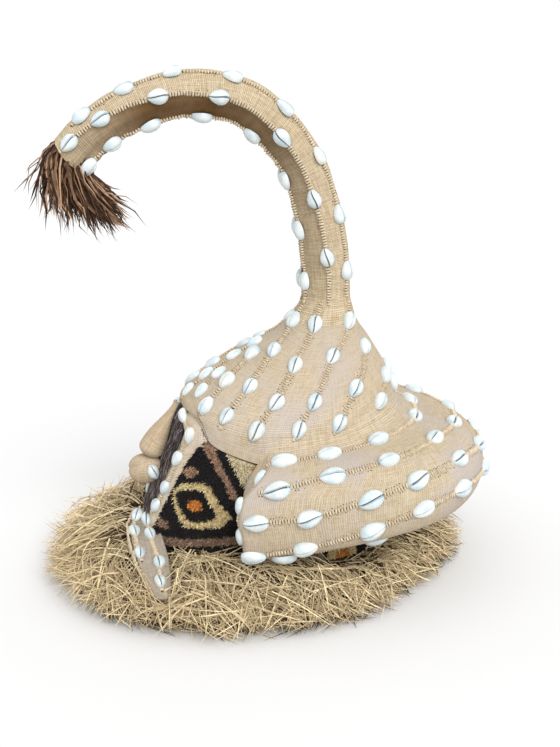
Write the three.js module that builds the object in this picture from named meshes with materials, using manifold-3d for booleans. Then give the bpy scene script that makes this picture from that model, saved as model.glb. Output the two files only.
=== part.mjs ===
// A royal helmet mask of raffia cloth with a long arching trunk, rows of cowrie shells and a raffia collar.
import * as THREE from "three";
import { mergeVertices } from "three/addons/utils/BufferGeometryUtils.js";
import Module from "manifold-3d";

const wasm = await Module();
wasm.setup();

// Sizes are in millimetres. The face looks along -Y, the wearer's left side is +X and Z is up.
// Turns are in radians about the upright head axis, 0 at the face and a quarter turn at the left ear.
const QUARTER = Math.PI / 2;
const GAP = 0.3;
const MERGE = 1e-4;

// Helmet wall of cane and cloth
const WALL = 6;
const LAYER = 5;
const SEAT = 1.6;
const HELMET = {
  halfWidth: 93,
  back: 111,
  browFront: 107,
  browHeight: 183,
  chinLean: 0.357,
  cornerAtBrow: 2.3,
  cornerAtRim: 2.1,
  backCorner: 2.2,
  leanFrom: 50,
  leanTo: 190,
  cornerFrom: 60,
  cornerTo: 170,
  rim: 42,
  sides: 26,
};
// Heights of the rings that shape the wall, and how far the filled blocks made from it run past its ends
const WALL_HEIGHTS = [42, 60, 84, 110, 140, 166, 186];
const BLOCK_BELOW = 10;
const BLOCK_TOP = 200;
const CUT_BELOW = 20;
const CUT_TOP = 210;

// Conical hat
const HAT = {
  brimMean: 178.5,
  brimForward: -5,
  brimSaddle: 12.5,
  skirtLow: 136,
  skirtRise: 47,
  skirtStartCos: 0.5,
  topCentre: 45.5,
  topHeight: 283,
  topRadius: 26,
};
// Where the inside of the hat is shaped, as shares of the way out, and how it sits on the helmet wall
const HAT_INSIDE = [0.94, 0.8, 0.5, 0.22, 0.09];
const HAT_SEAT = { fold: 12, rest: 1.6, wallBelow: 2, ringBelow: 4 };
const HAT_CUT_BELOW = 8;
const HAT_ENDS = [0.01, 0.99];
const HAT_ROW_ENDS = [0.01, 0.985];
// Share of the way out from the trunk against share of the way down, from the trunk to the brim
const HAT_PROFILE = [
  [0, 0],
  [0.09, 0.17],
  [0.22, 0.31],
  [0.42, 0.45],
  [0.62, 0.6],
  [0.8, 0.75],
  [0.94, 0.9],
  [1, 1],
];

// Rows of shells on one side of the hat, as [turn in degrees, share of the way out] for each shell
const HAT_FRONT_ROW = [
  [0, 0.4],
  [0, 0.57],
  [0, 0.8],
  [0, 0.95],
];
const HAT_ROWS = {
  1: [
    [11, 0.73],
    [14, 0.89],
  ],
  2: [
    [16, 0.47],
    [26, 0.74],
    [28, 0.94],
  ],
  3: [
    [17, 0.1],
    [36, 0.37],
    [46, 0.7],
    [46, 0.94],
  ],
  4: [
    [62, 0.09],
    [68, 0.45],
    [70, 0.78],
    [66, 0.97],
  ],
  5: [
    [127, 0.09],
    [97, 0.37],
    [90, 0.78],
    [86, 0.96],
  ],
  6: [
    [142, 0.42],
    [116, 0.75],
    [104, 0.96],
  ],
  7: [
    [151, 0.84],
    [135, 0.96],
  ],
  8: [
    [168, 0.86],
    [162, 0.97],
  ],
};

// Trunk: its centre line in the plane of the nose, as [y, z]
const TRUNK_LINE = [
  [45.5, 283.4],
  [44.4, 322],
  [33.5, 382],
  [8, 439],
  [-42, 484],
  [-98, 493],
  [-153, 478],
  [-191, 455],
  [-210, 436],
];
const TRUNK = { baseRadius: 25.2, tipRadius: 23.4, sides: 12, stations: 17 };
// Rows of shells on the trunk: angle from its outer side by share of its length, and where the shells sit
const TRUNK_ROWS = {
  left_outer: {
    angle: [[0, 52], [0.35, 50], [0.6, 38], [0.72, 28], [0.83, 32], [1, 34]],
    shells: [0.08, 0.215, 0.355, 0.48, 0.6, 0.72, 0.825, 0.925],
  },
  left_side: {
    angle: [[0, 100], [0.27, 104], [0.44, 102], [0.62, 94], [0.77, 80], [0.9, 70], [1, 58]],
    shells: [0.12, 0.27, 0.44, 0.625, 0.765, 0.9, 0.97],
  },
  left_inner: {
    angle: [[0, 162], [0.33, 152], [0.5, 150], [0.66, 138], [0.8, 130], [1, 124]],
    shells: [0.055, 0.195, 0.335, 0.495, 0.66, 0.8, 0.92, 0.97],
  },
  right_outer: {
    angle: [[0, -52], [0.6, -45], [1, -52]],
    shells: [0.08, 0.21, 0.35, 0.48, 0.61, 0.73, 0.85, 0.95],
  },
  right_side: {
    angle: [[0, -104], [0.6, -100], [1, -112]],
    shells: [0.12, 0.27, 0.43, 0.6, 0.77, 0.92],
  },
  right_inner: {
    angle: [[0, -162], [0.6, -160], [1, -176]],
    shells: [0.055, 0.2, 0.34, 0.5, 0.66, 0.8, 0.94],
  },
};

// Brush of dark raffia in the trunk's end
const TUFT = { prongs: 9, length: 78, collar: 12, lean: 0.12 };
// Rings of the brush: distance down, radius and how ragged it is
const TUFT_RINGS = [
  [0.3, 19, 0],
  [12, 21, 0],
  [46.8, 29, 3],
  [78, 34, 9],
];
const TUFT_SHAPE = { flare: 4, flat: 0.9, waist: 0.5, lag: 0.6, sway: 0.5, swayTurn: 1.7 };

// Padded roll round the sides and back
const ROLL = {
  frontTurn: 1.02,
  widthFront: 50,
  widthBack: 98,
  bottomFront: 50,
  bottomBack: 78,
  topFront: 150,
  topBack: 160,
  wallHeight: 120,
  clear: 6,
  backFrom: -0.45,
  backTo: 0.85,
  stations: 25,
  heelWidth: 0.4,
  heelBelow: 7,
};
// Turn at which the roll's blunt ends stand, by share of its height
const ROLL_END_TURN = [
  [0, 1.13],
  [0.25, 1.135],
  [0.5, 1.11],
  [0.75, 1.135],
  [0.92, 1.235],
  [1, 1.295],
];
// Section of the roll: share of its width from the helmet, share of its height
const ROLL_SECTION = [
  [0, 0.1],
  [0, 0.5],
  [0, 0.95],
  [0.1, 1],
  [0.42, 0.99],
  [0.72, 0.92],
  [0.93, 0.75],
  [1, 0.5],
  [0.96, 0.25],
  [0.82, 0.07],
  [0.5, 0],
  [0.18, 0],
];

// Rows of shells on the roll: place on its section by share of its length, and where the shells sit
const ROLL_ROWS = {
  1: { place: [[0, 3.8], [0.15, 3.5], [0.26, 3.36], [0.5, 3.5]], shells: [0.09, 0.155, 0.255, 0.4, 0.5] },
  2: {
    place: [[0.07, 5.65], [0.14, 5.1], [0.23, 4.7], [0.34, 4.5], [0.44, 4.9], [0.5, 5.2]],
    shells: [0.075, 0.143, 0.228, 0.335, 0.42, 0.5],
  },
  3: {
    place: [[0.04, 7], [0.11, 6.9], [0.18, 6.4], [0.25, 5.9], [0.32, 5.75], [0.44, 6.2], [0.5, 6.3]],
    shells: [0.054, 0.113, 0.183, 0.247, 0.323, 0.4, 0.47],
  },
  4: {
    place: [[0.04, 8.85], [0.11, 8.45], [0.19, 7.8], [0.25, 7.25], [0.31, 7.0], [0.39, 7.2], [0.5, 7.5]],
    shells: [0.052, 0.11, 0.186, 0.248, 0.31, 0.394, 0.47],
  },
  5: { place: [[0.04, 9.75], [0.5, 9.4]], shells: [0.085, 0.21, 0.33, 0.45] },
};
// Shells on the roll's blunt front faces, as [share of width, share of height]
const ROLL_END_ROW = [
  [0.5, 0.9],
  [0.8, 0.66],
  [0.76, 0.28],
];

// Collar of raffia fibres
const COLLAR = {
  sides: 50,
  tooth: 7,
  toothMiddle: 2,
  toothSway: 0.4,
  toothTurn: 2.3,
  top: 41.6,
  shoulder: 0.06,
  middle: 34,
  edge: 14,
  underReach: 0.95,
};

// Reach of the collar's fibres from the helmet's rim, by turn in degrees
const COLLAR_REACH = [
  [0, 88],
  [30, 94],
  [65, 98],
  [95, 84],
  [125, 62],
  [150, 66],
  [180, 86],
];

// Fur face and the band round it as seen from the front, as [x, z] down the left side
const FUR_OUTLINE = [
  [0, 181],
  [16, 173],
  [34, 158],
  [27, 134],
  [20, 100],
  [12, 77],
  [0, 60],
];
const BAND_OUTLINE = [
  [0, 198],
  [38, 198],
  [65, 158],
  [51, 134],
  [41, 100],
  [36, 77],
  [30, 52],
  [0, 46],
];
const BAND_ROW = [
  [7, 183],
  [20, 174],
  [45, 160],
  [37, 134],
  [31, 100],
  [25, 77],
  [16, 60],
];
const BAND_SHELLS = [0.18, 0.34, 0.51, 0.68, 0.84];
const BAND_THICK = 3;
const FUR_THICK = 4;
const OUTLINE_SPLIT = 100;
const FACE_DEPTH = 240;

// Nose: its front edge as [y, z], with the half width and the depth behind that edge
const NOSE = [
  [-121, 184, 6],
  [-130, 170, 9],
  [-143, 155, 12],
  [-155, 140, 15],
  [-159.5, 131, 15.5],
  [-155, 124.5, 11],
];
const NOSE_SIDES = 8;
const NOSE_DEPTH = 20;
const BULB = {
  centreY: -151,
  centreZ: 110.5,
  halfWidth: 15.5,
  halfDepth: 20,
  halfHeight: 14.5,
  around: 12,
  up: 8,
};
const MOUTH_SHELL = { x: 18, top: 114, bottom: 96 };

// Flap below the chin: centre line as [x, y, z] and half width
const FLAP = [
  [2, -154, 65, 9.5],
  [20, -159, 53, 14.5],
  [54, -159, 48, 15.5],
  [84, -157, 42, 14.5],
  [112, -155, 35.5, 11.5],
  [136, -154, 28, 6],
];
const FLAP_THICK = 5;
const FLAP_CURL = 1.5;
const FLAP_LOOK = 0.05;
const FLAP_STATIONS = 9;
const FLAP_ACROSS = [-1, -0.4, 0.4, 1];
const FLAP_ROWS = {
  front: { across: [[0, -0.78], [0.5, -0.78]], shells: [0.1, 0.27, 0.5] },
  back: { across: [[0.34, 0.12], [0.62, 0.42], [0.82, 0.1]], shells: [0.34, 0.62, 0.82] },
};

// Cowrie shells and the stitched cord that carries them
const SHELL = { half: 10.5, width: 7.6, rise: 7.2 };
const BIG_SHELL = { half: 13, width: 8.8, rise: 8 };
const SMALL_SHELL = { half: 9, width: 6.4, rise: 6 };
const CORD = { width: 2.6, rise: 2.8 };
const LONGEST_CORD = 34;
const END_CORD = 3;
// Section of one shell along its row: place from end to end, share of its width, share of its rise
const SHELL_SECTION = [
  [-0.42, 1, 1],
  [0.36, 0.86, 0.92],
];
const END_SHELLS = [0.02, 0.52, 0.98];
// Heights above the cloth tried in turn for a row, until it clears the cloth's facets
const LIFTS = [0.3, 0.5, 0.8, 1.1, 1.5, 2, 2.6, 3.2];
const CLEAR = 0.002;
// Small step along a surface that shows its lie
const STEP = 1e-3;

// Colours
const CLOTH = { color: 0xc2a075, roughness: 0.95, metalness: 0 };
const PALE_CLOTH = { color: 0xcbb08a, roughness: 0.95, metalness: 0 };
const INNER_CANE = { color: 0x8a6f4d, roughness: 0.9, metalness: 0 };
const PILE = { color: 0x1d1816, roughness: 1, metalness: 0 };
const FUR = { color: 0x4a3d38, roughness: 1, metalness: 0 };
const STRAW = { color: 0xb59a62, roughness: 0.9, metalness: 0 };
const DARK_RAFFIA = { color: 0x6d472c, roughness: 0.95, metalness: 0 };
const PORCELAIN = { color: 0xe9eef0, roughness: 0.25, metalness: 0 };

const mask = new THREE.Group();
mask.name = "kuba_mukyeem_mask";

const clamp = (value, low, high) => Math.min(high, Math.max(low, value));
const mix = THREE.MathUtils.lerp;
const smooth = (value, from, to) => {
  const share = clamp((value - from) / (to - from), 0, 1);
  return share * share * (3 - 2 * share);
};

// Reads a list of [key, value] pairs between its entries.
function along(pairs, key) {
  const last = pairs.length - 1;
  const at = clamp(
    pairs.findIndex((pair) => pair[0] >= key),
    key > pairs[last][0] ? last : 1,
    last,
  );
  const [fromKey, fromValue] = pairs[at - 1];
  const [toKey, toValue] = pairs[at];
  return mix(fromValue, toValue, clamp((key - fromKey) / (toKey - fromKey), 0, 1));
}

// A geometry as a solid, turned to face outward.
function solidOf(geometry) {
  const bare = geometry.clone();
  bare.deleteAttribute("normal");
  bare.deleteAttribute("uv");
  const merged = mergeVertices(bare, MERGE);
  const triVerts = new Uint32Array(merged.index.array);
  const build = () =>
    new wasm.Manifold(
      new wasm.Mesh({ numProp: 3, vertProperties: merged.attributes.position.array, triVerts }),
    );
  const first = build();
  if (first.volume() > 0) {
    return first;
  }
  for (let i = 0; i < triVerts.length; i += 3) {
    [triVerts[i + 1], triVerts[i + 2]] = [triVerts[i + 2], triVerts[i + 1]];
  }
  return build();
}

function geometryOf(solid) {
  const made = solid.getMesh();
  const geometry = new THREE.BufferGeometry();
  geometry.setAttribute("position", new THREE.BufferAttribute(made.vertProperties, 3));
  geometry.setIndex(new THREE.BufferAttribute(made.triVerts, 1));
  return geometry;
}

// The largest connected body of a solid, so that a cut leaves no crumbs.
function mainBody(solid) {
  return solid.decompose().reduce((best, body) => (body.volume() > best.volume() ? body : best));
}

// A skin over a run of rings with the same number of points, looped or capped at both ends.
function skin(rings, looped = false) {
  const count = rings[0].length;
  const points = rings.flat();
  const faces = [];
  const steps = looped ? rings.length : rings.length - 1;
  for (let step = 0; step < steps; step++) {
    const near = step * count;
    const far = ((step + 1) % rings.length) * count;
    for (let j = 0; j < count; j++) {
      const k = (j + 1) % count;
      faces.push(near + j, far + j, far + k, near + j, far + k, near + k);
    }
  }
  if (!looped) {
    const cap = (start, ring, flip) => {
      const middle = ring.reduce((sum, p) => sum.add(p), new THREE.Vector3());
      points.push(middle.divideScalar(count));
      const centre = points.length - 1;
      for (let j = 0; j < count; j++) {
        const k = (j + 1) % count;
        faces.push(centre, start + (flip ? k : j), start + (flip ? j : k));
      }
    };
    cap(0, rings[0], false);
    cap((rings.length - 1) * count, rings[rings.length - 1], true);
  }
  const geometry = new THREE.BufferGeometry();
  geometry.setAttribute(
    "position",
    new THREE.Float32BufferAttribute(points.flatMap((p) => p.toArray()), 3),
  );
  geometry.setIndex(faces);
  return solidOf(geometry);
}

function addPiece(name, solid, finish) {
  const material = new THREE.MeshStandardMaterial(finish);
  const mesh = new THREE.Mesh(geometryOf(mainBody(solid)), material);
  mesh.name = name;
  mask.add(mesh);
  return solid;
}

const ringOf = (count, make) => Array.from({ length: count }, (_, i) => make(i));
const stepsOf = (count, make) => Array.from({ length: count }, (_, i) => make(i / (count - 1)));

// How square the front half of the helmet is at a height.
const frontCorner = (height) =>
  mix(HELMET.cornerAtRim, HELMET.cornerAtBrow, smooth(height, HELMET.cornerFrom, HELMET.cornerTo));

// The helmet's outer wall at a turn and a height: an egg in plan, its front leaning out to the chin.
function helmetWall(turn, height, grow = 0) {
  const leaning = clamp(height, HELMET.leanFrom, HELMET.leanTo);
  const front = HELMET.browFront + grow + HELMET.chinLean * (HELMET.browHeight - leaning);
  const corner = Math.cos(turn) > 0 ? frontCorner(height) : HELMET.backCorner;
  const long = Math.cos(turn) > 0 ? front : HELMET.back + grow;
  const power = 2 / corner;
  const sin = Math.sin(turn);
  const cos = Math.cos(turn);
  return new THREE.Vector3(
    (HELMET.halfWidth + grow) * Math.sign(sin) * Math.abs(sin) ** power,
    -long * Math.sign(cos) * Math.abs(cos) ** power,
    height,
  );
}

const helmetRing = (height, grow) =>
  ringOf(HELMET.sides, (i) => {
    const turn = (i / HELMET.sides) * 4 * QUARTER;
    const z = typeof height === "function" ? height(turn) : height;
    return helmetWall(turn, z, grow);
  });

const brimHeight = (turn) =>
  HAT.brimMean + HAT.brimForward * Math.cos(turn) + HAT.brimSaddle * Math.cos(2 * turn);

const skirtHeight = (turn) =>
  HAT.skirtLow +
  HAT.skirtRise * clamp((Math.cos(turn) - HAT.skirtStartCos) / (1 - HAT.skirtStartCos), 0, 1);

// The hat's surface from the trunk (out = 0) to the brim (out = 1).
function hatSurface(turn, out, grow = 0) {
  const brim = helmetWall(turn, brimHeight(turn), LAYER + GAP);
  const top = new THREE.Vector3(
    HAT.topRadius * Math.sin(turn),
    HAT.topCentre - HAT.topRadius * Math.cos(turn),
    HAT.topHeight,
  );
  const drop = along(HAT_PROFILE, out);
  const point = new THREE.Vector3(
    mix(top.x, brim.x, out),
    mix(top.y, brim.y, out),
    mix(top.z, brim.z, drop),
  );
  return grow ? grown(hatSurface, turn, out, grow) : point;
}

// A surface's point moved along its own outward normal.
function grown(surface, turn, out, grow) {
  const inside = clamp(out, ...HAT_ENDS);
  return surface(turn, out).addScaledVector(normalOf(surface, turn, inside), grow);
}

function normalOf(surface, turn, out) {
  const across = surface(turn + STEP, out).sub(surface(turn - STEP, out));
  const down = surface(turn, out + STEP).sub(surface(turn, out - STEP));
  return down.cross(across).normalize();
}

const hatRing = (out, grow) =>
  ringOf(HELMET.sides, (i) => hatSurface((i / HELMET.sides) * 4 * QUARTER, out, grow));

const outSteps = HAT_PROFILE.map((pair) => pair[0]);

// A filled block with the outline of the helmet wall, for cutting and layering.
function helmetBlock(grow, low = HELMET.rim - BLOCK_BELOW, high = BLOCK_TOP) {
  const heights = [low, ...WALL_HEIGHTS.filter((z) => z > low && z < high), high];
  return skin(heights.map((z) => helmetRing(z, grow)));
}

// A flat outline in x and z pushed along Y through the front half.
function facePrism(outline) {
  const shape = new THREE.Shape(outline.map(([x, z]) => new THREE.Vector2(x, z)));
  const prism = new THREE.ExtrudeGeometry(shape, { depth: FACE_DEPTH, bevelEnabled: false });
  prism.rotateX(QUARTER);
  return solidOf(prism);
}

// A left-hand outline and its mirror image, as one closed outline.
function bothSides(left, grow = 0) {
  const pushed = left.map(([x, z]) => [
    x + (x > 0 ? grow : 0),
    z + (z > OUTLINE_SPLIT ? grow : -grow),
  ]);
  const right = pushed
    .filter(([x]) => x > 0)
    .reverse()
    .map(([x, z]) => [-x, z]);
  return [...pushed, ...right];
}

// Trunk: a point on its surface, by share of its length and angle from its outer side
const trunkCurve = new THREE.CatmullRomCurve3(
  TRUNK_LINE.map(([y, z]) => new THREE.Vector3(0, y, z)),
  false,
  "centripetal",
);
const trunkRadius = (share) => mix(TRUNK.baseRadius, TRUNK.tipRadius, share);

function trunkSurface(share, angle, grow = 0) {
  const centre = trunkCurve.getPointAt(clamp(share, 0, 1));
  const ahead = trunkCurve.getTangentAt(clamp(share, 0, 1));
  const outward = new THREE.Vector3(0, ahead.z, -ahead.y);
  const normal = outward
    .multiplyScalar(Math.cos(angle))
    .add(new THREE.Vector3(Math.sin(angle), 0, 0));
  return { point: centre.addScaledVector(normal, trunkRadius(share) + grow), normal };
}

function trunkSolid(grow) {
  return skin(
    stepsOf(TRUNK.stations, (share) =>
      ringOf(TRUNK.sides, (i) => trunkSurface(share, (i / TRUNK.sides) * 4 * QUARTER, grow).point),
    ),
  );
}

// Roll: a point on its surface, by turn and by share round its section
const rollTurn = (share) => mix(ROLL.frontTurn, 4 * QUARTER - ROLL.frontTurn, share);
function rollReach(share, up) {
  const end = along(ROLL_END_TURN, up);
  return mix(end, 4 * QUARTER - end, share);
}
const rollBack = (turn) => smooth(-Math.cos(turn), ROLL.backFrom, ROLL.backTo);

function rollPoint(turn, across, up, grow = 0) {
  const back = rollBack(turn);
  const width = mix(ROLL.widthFront, ROLL.widthBack, back);
  const bottom = mix(ROLL.bottomFront, ROLL.bottomBack, back);
  const top = mix(ROLL.topFront, ROLL.topBack, back);
  const inner = helmetWall(turn, ROLL.wallHeight, ROLL.clear);
  const after = helmetWall(turn + STEP, ROLL.wallHeight, LAYER);
  const ahead = after.sub(helmetWall(turn - STEP, ROLL.wallHeight, LAYER));
  const outward = new THREE.Vector3(ahead.y, -ahead.x, 0).normalize();
  const out = across * width + grow * (across > 0 ? 2 * across - 1 : -1);
  const point = inner.addScaledVector(outward, out);
  const heel = clamp(1 - across / ROLL.heelWidth, 0, 1) ** 2 * up ** 4;
  const rise = brimHeight(turn) - ROLL.heelBelow - top;
  point.z = mix(bottom, top, up) + heel * rise + grow * (2 * up - 1);
  return point;
}

function rollSolid(grow) {
  return skin(
    stepsOf(ROLL.stations, (share) =>
      ROLL_SECTION.map(([across, up]) => rollPoint(rollReach(share, up), across, up, grow)),
    ),
  );
}

// Point on the roll by share of its length and place on its section
function rollSurface(share, place) {
  const low = Math.floor(place);
  const [fromAcross, fromUp] = ROLL_SECTION[low];
  const [toAcross, toUp] = ROLL_SECTION[(low + 1) % ROLL_SECTION.length];
  const from = rollPoint(rollTurn(share), fromAcross, fromUp);
  return from.lerp(rollPoint(rollTurn(share), toAcross, toUp), place - low);
}

// Point and normal of a surface where two small steps along it show its lie.
function lieOf(surface, a, b, flip = 1) {
  const wide = STEP * 5;
  const first = surface(a + STEP, b).sub(surface(a - STEP, b));
  const second = surface(a, b + wide).sub(surface(a, b - wide));
  return { point: surface(a, b), normal: first.cross(second).normalize().multiplyScalar(flip) };
}

// A stitched cord with shells along a path; at(share) gives a point and the cloth's normal.
function shellRow(at, shells, size, lift, reach = END_CORD) {
  const speed = (share) => {
    const inside = clamp(share, STEP, 1 - STEP);
    return at(inside + STEP).point.distanceTo(at(inside - STEP).point) / (2 * STEP);
  };
  const stations = [];
  shells.forEach((share, i) => {
    const perMm = 1 / speed(share);
    const profile = [
      [-1, CORD.width, CORD.rise],
      ...SHELL_SECTION.map(([place, wide, high]) => [place, size.width * wide, size.rise * high]),
      [1, CORD.width, CORD.rise],
    ];
    profile.forEach(([place, width, rise]) =>
      stations.push({ share: share + place * size.half * perMm, width, rise }),
    );
    if (i + 1 < shells.length) {
      const next = shells[i + 1];
      const from = share + size.half * perMm;
      const to = next - size.half / speed(next);
      const long = (to - from) / perMm;
      const parts = Math.ceil(long / LONGEST_CORD);
      for (let k = 1; k < parts; k++) {
        stations.push({ share: mix(from, to, k / parts), width: CORD.width, rise: CORD.rise });
      }
    }
  });
  const first = stations[0];
  const last = stations[stations.length - 1];
  stations.unshift({ ...first, share: first.share - reach / speed(shells[0]) });
  stations.push({ ...last, share: last.share + reach / speed(shells[shells.length - 1]) });
  const rings = stations.map(({ share, width, rise }) => {
    const { point, normal } = at(share);
    const ahead = at(share + STEP).point.sub(at(share - STEP).point);
    const side = normal.clone().cross(ahead).normalize().multiplyScalar(width);
    const foot = point.clone().addScaledVector(normal, lift);
    const ridge = foot.clone().addScaledVector(normal, rise);
    return [foot.clone().add(side), foot.clone().sub(side), ridge];
  });
  return skin(rings);
}

// Reads a path given as points at equal steps.
function pathAt(points, share) {
  const place = share * (points.length - 1);
  const low = clamp(Math.floor(place), 0, points.length - 2);
  return points[low].map((value, i) => mix(value, points[low + 1][i], place - low));
}

// Helmet wall, open below and above
const wallTop = (turn) => brimHeight(turn) - HAT_SEAT.wallBelow;
const highest = (turn) => brimHeight(turn) - HAT_SEAT.ringBelow;
const wallRings = (grow) =>
  WALL_HEIGHTS.slice(0, -1).map((z) => helmetRing((turn) => Math.min(z, highest(turn)), grow));
const helmetShell = skin(
  [
    ...wallRings(0),
    helmetRing(wallTop, 0),
    helmetRing(wallTop, -WALL),
    ...wallRings(-WALL).reverse(),
  ],
  true,
);
addPiece("helmet_shell", helmetShell, INNER_CANE);

// Conical hat with its skirt outside the helmet wall, hollow inside
const hatFold = (turn) => brimHeight(turn) - HAT_SEAT.fold;
const hatRest = (turn) => brimHeight(turn) - HAT_SEAT.rest;
const hat = skin([
  ...outSteps.map((out) => hatRing(out)),
  helmetRing(skirtHeight, LAYER + GAP),
  helmetRing(skirtHeight, SEAT),
  helmetRing(hatFold, SEAT),
  helmetRing(hatRest, GAP),
  helmetRing(hatRest, -WALL),
  ...HAT_INSIDE.map((out) => hatRing(out, -WALL)),
]);
addPiece("crown", hat, CLOTH);

// The hat as a filled block, for cutting what lies on it
const hatBlock = skin([
  ...outSteps.map((out) => hatRing(out, GAP)),
  helmetRing((turn) => skirtHeight(turn) - GAP, LAYER + 2 * GAP),
  helmetRing(HAT.skirtLow - HAT_CUT_BELOW, -WALL),
]);

addPiece("trunk", trunkSolid(0).subtract(hatBlock), CLOTH);
const trunkBlock = trunkSolid(GAP);

// Tuft of dark raffia
const tuftTip = trunkCurve.getPointAt(1);
const tuftAhead = trunkCurve.getTangentAt(1);
const tuftHang = new THREE.Vector3(0, TUFT.lean, -1).normalize();
const tuftWaist = TUFT.length * TUFT_SHAPE.lag;
const tuftRings = TUFT_RINGS.map(([down, radius, ragged]) => {
  const straight = Math.min(down, TUFT.collar);
  const ahead = tuftAhead.clone().lerp(tuftHang, smooth(down, 0, tuftWaist)).normalize();
  const centre = tuftTip
    .clone()
    .addScaledVector(tuftAhead, straight)
    .addScaledVector(tuftHang, down - straight);
  const across = new THREE.Vector3(0, ahead.z, -ahead.y);
  const flare = 1 + down / TUFT.length / TUFT_SHAPE.flare;
  return ringOf(TUFT.prongs * 2, (i) => {
    const angle = (i / (TUFT.prongs * 2)) * 4 * QUARTER;
    const out = radius + (i % 2 ? -ragged : ragged * TUFT_SHAPE.waist);
    const sway = TUFT_SHAPE.lag + TUFT_SHAPE.sway * Math.sin(i * TUFT_SHAPE.swayTurn);
    return centre
      .clone()
      .addScaledVector(across, out * Math.cos(angle) * flare)
      .add(new THREE.Vector3(out * TUFT_SHAPE.flat * Math.sin(angle), 0, 0))
      .addScaledVector(ahead, (i % 2 ? -ragged : ragged) * sway);
  });
});
addPiece("trunk_tuft", skin(tuftRings), DARK_RAFFIA);

// Padded roll
const wallRoom = helmetBlock(GAP + LAYER + GAP);
addPiece("side_roll", rollSolid(0).subtract(wallRoom), CLOTH);
const rollBlock = rollSolid(GAP);

// Collar
function collarReach(turn) {
  const degrees = THREE.MathUtils.radToDeg(turn);
  return along(COLLAR_REACH, Math.min(degrees, 360 - degrees));
}

// A ring of the collar at a share of its reach; a share below nothing is the ring inside the helmet.
function collarRing(share, height, tooth = 0, grow = 0) {
  return ringOf(COLLAR.sides, (i) => {
    const turn = (i / COLLAR.sides) * 4 * QUARTER;
    const sway = 1 - COLLAR.toothSway + COLLAR.toothSway * Math.sin(i * COLLAR.toothTurn);
    const bump = tooth * (i % 2 ? 1 : -1) * sway;
    const reach = share < 0 ? -WALL : share * collarReach(turn) + bump;
    const wall = helmetWall(turn, HELMET.rim, reach + grow);
    wall.z = height;
    return wall;
  });
}

function collarSolid(grow) {
  return skin(
    [
      collarRing(-1, COLLAR.top + grow),
      collarRing(COLLAR.shoulder, COLLAR.top + grow),
      collarRing(0.5, COLLAR.middle + grow, COLLAR.toothMiddle, grow),
      collarRing(1, COLLAR.edge + grow, COLLAR.tooth, grow),
      collarRing(COLLAR.underReach, 0, COLLAR.tooth, grow),
      collarRing(-1, 0),
    ],
    true,
  );
}
addPiece("raffia_collar", collarSolid(0), STRAW);
const collarBlock = collarSolid(GAP);

// Layers on the helmet wall: fur face, the band round it and the cut-pile cloth
const wallCut = helmetBlock(GAP, HELMET.rim - CUT_BELOW, CUT_TOP);
const layerOf = (thick) => helmetBlock(GAP + thick).subtract(wallCut);
const bandPrism = facePrism(bothSides(BAND_OUTLINE));
const bandRoom = facePrism(bothSides(BAND_OUTLINE, GAP));
const furPrism = facePrism(bothSides(FUR_OUTLINE));
const furRoom = facePrism(bothSides(FUR_OUTLINE, GAP));
const fur = layerOf(FUR_THICK).intersect(furPrism).subtract(hatBlock);
addPiece("face_fur", fur, FUR);
const band = layerOf(BAND_THICK).intersect(bandPrism).subtract(furRoom).subtract(hatBlock);
addPiece("face_border", band, PALE_CLOTH);
const pileRings = (grow) => [
  helmetRing(HELMET.rim + 1, grow),
  ...WALL_HEIGHTS.slice(1, 4).map((z) => helmetRing(z, grow)),
  helmetRing((turn) => skirtHeight(turn) - GAP, grow),
];
const pileWall = skin([...pileRings(GAP + LAYER), ...pileRings(SEAT).reverse()], true);
addPiece("pile_cloth", pileWall.subtract(bandRoom), PILE);

// Everything on the face with room left round it
const faceBlock = helmetBlock(GAP + FUR_THICK + GAP);

// Nose and the rounded mouth below it
const noseRings = NOSE.map(([y, z, halfWidth], i) => {
  const next = NOSE[Math.min(i + 1, NOSE.length - 1)];
  const before = NOSE[Math.max(i - 1, 0)];
  const run = new THREE.Vector2(next[0] - before[0], next[1] - before[1]).normalize();
  const depth = i === NOSE.length - 1 ? halfWidth : NOSE_DEPTH;
  return ringOf(NOSE_SIDES, (k) => {
    const angle = (k / NOSE_SIDES) * 4 * QUARTER;
    const back = depth * (1 - Math.cos(angle));
    return new THREE.Vector3(halfWidth * Math.sin(angle), y - run.y * back, z + run.x * back);
  });
});
const nose = skin(noseRings).subtract(faceBlock).subtract(hatBlock);
addPiece("nose", nose, PALE_CLOTH);

const bulbShape = new THREE.SphereGeometry(1, BULB.around, BULB.up);
bulbShape.rotateX(QUARTER);
bulbShape.scale(BULB.halfWidth, BULB.halfDepth, BULB.halfHeight);
bulbShape.translate(0, BULB.centreY, BULB.centreZ);
const bulb = solidOf(bulbShape).subtract(faceBlock);
addPiece("mouth", bulb, PALE_CLOTH);

// Flap below the chin
function flapSurface(share, across) {
  const [x, y, z, half] = pathAt(FLAP, share);
  const [x2, y2] = pathAt(FLAP, Math.min(1, share + FLAP_LOOK));
  const [x1, y1] = pathAt(FLAP, Math.max(0, share - FLAP_LOOK));
  const run = new THREE.Vector2(x2 - x1, y2 - y1).normalize();
  return new THREE.Vector3(
    x - run.y * half * across,
    y + run.x * half * across,
    z + FLAP_CURL * across * across,
  );
}
const raised = (point, height) => point.clone().add(new THREE.Vector3(0, 0, height));
const flapRings = stepsOf(FLAP_STATIONS, (share) => {
  const top = FLAP_ACROSS.map((across) => flapSurface(share, across));
  const under = [...top].reverse().map((point) => raised(point, -FLAP_THICK));
  return [...top, ...under];
});
const flap = skin(flapRings).subtract(wallRoom).subtract(collarBlock);
addPiece("beard_flap", flap, PALE_CLOTH);
const flapBlock = skin(
  flapRings.map((ring) => ring.map((p, i) => raised(p, i < FLAP_ACROSS.length ? GAP : -GAP))),
);

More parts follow.
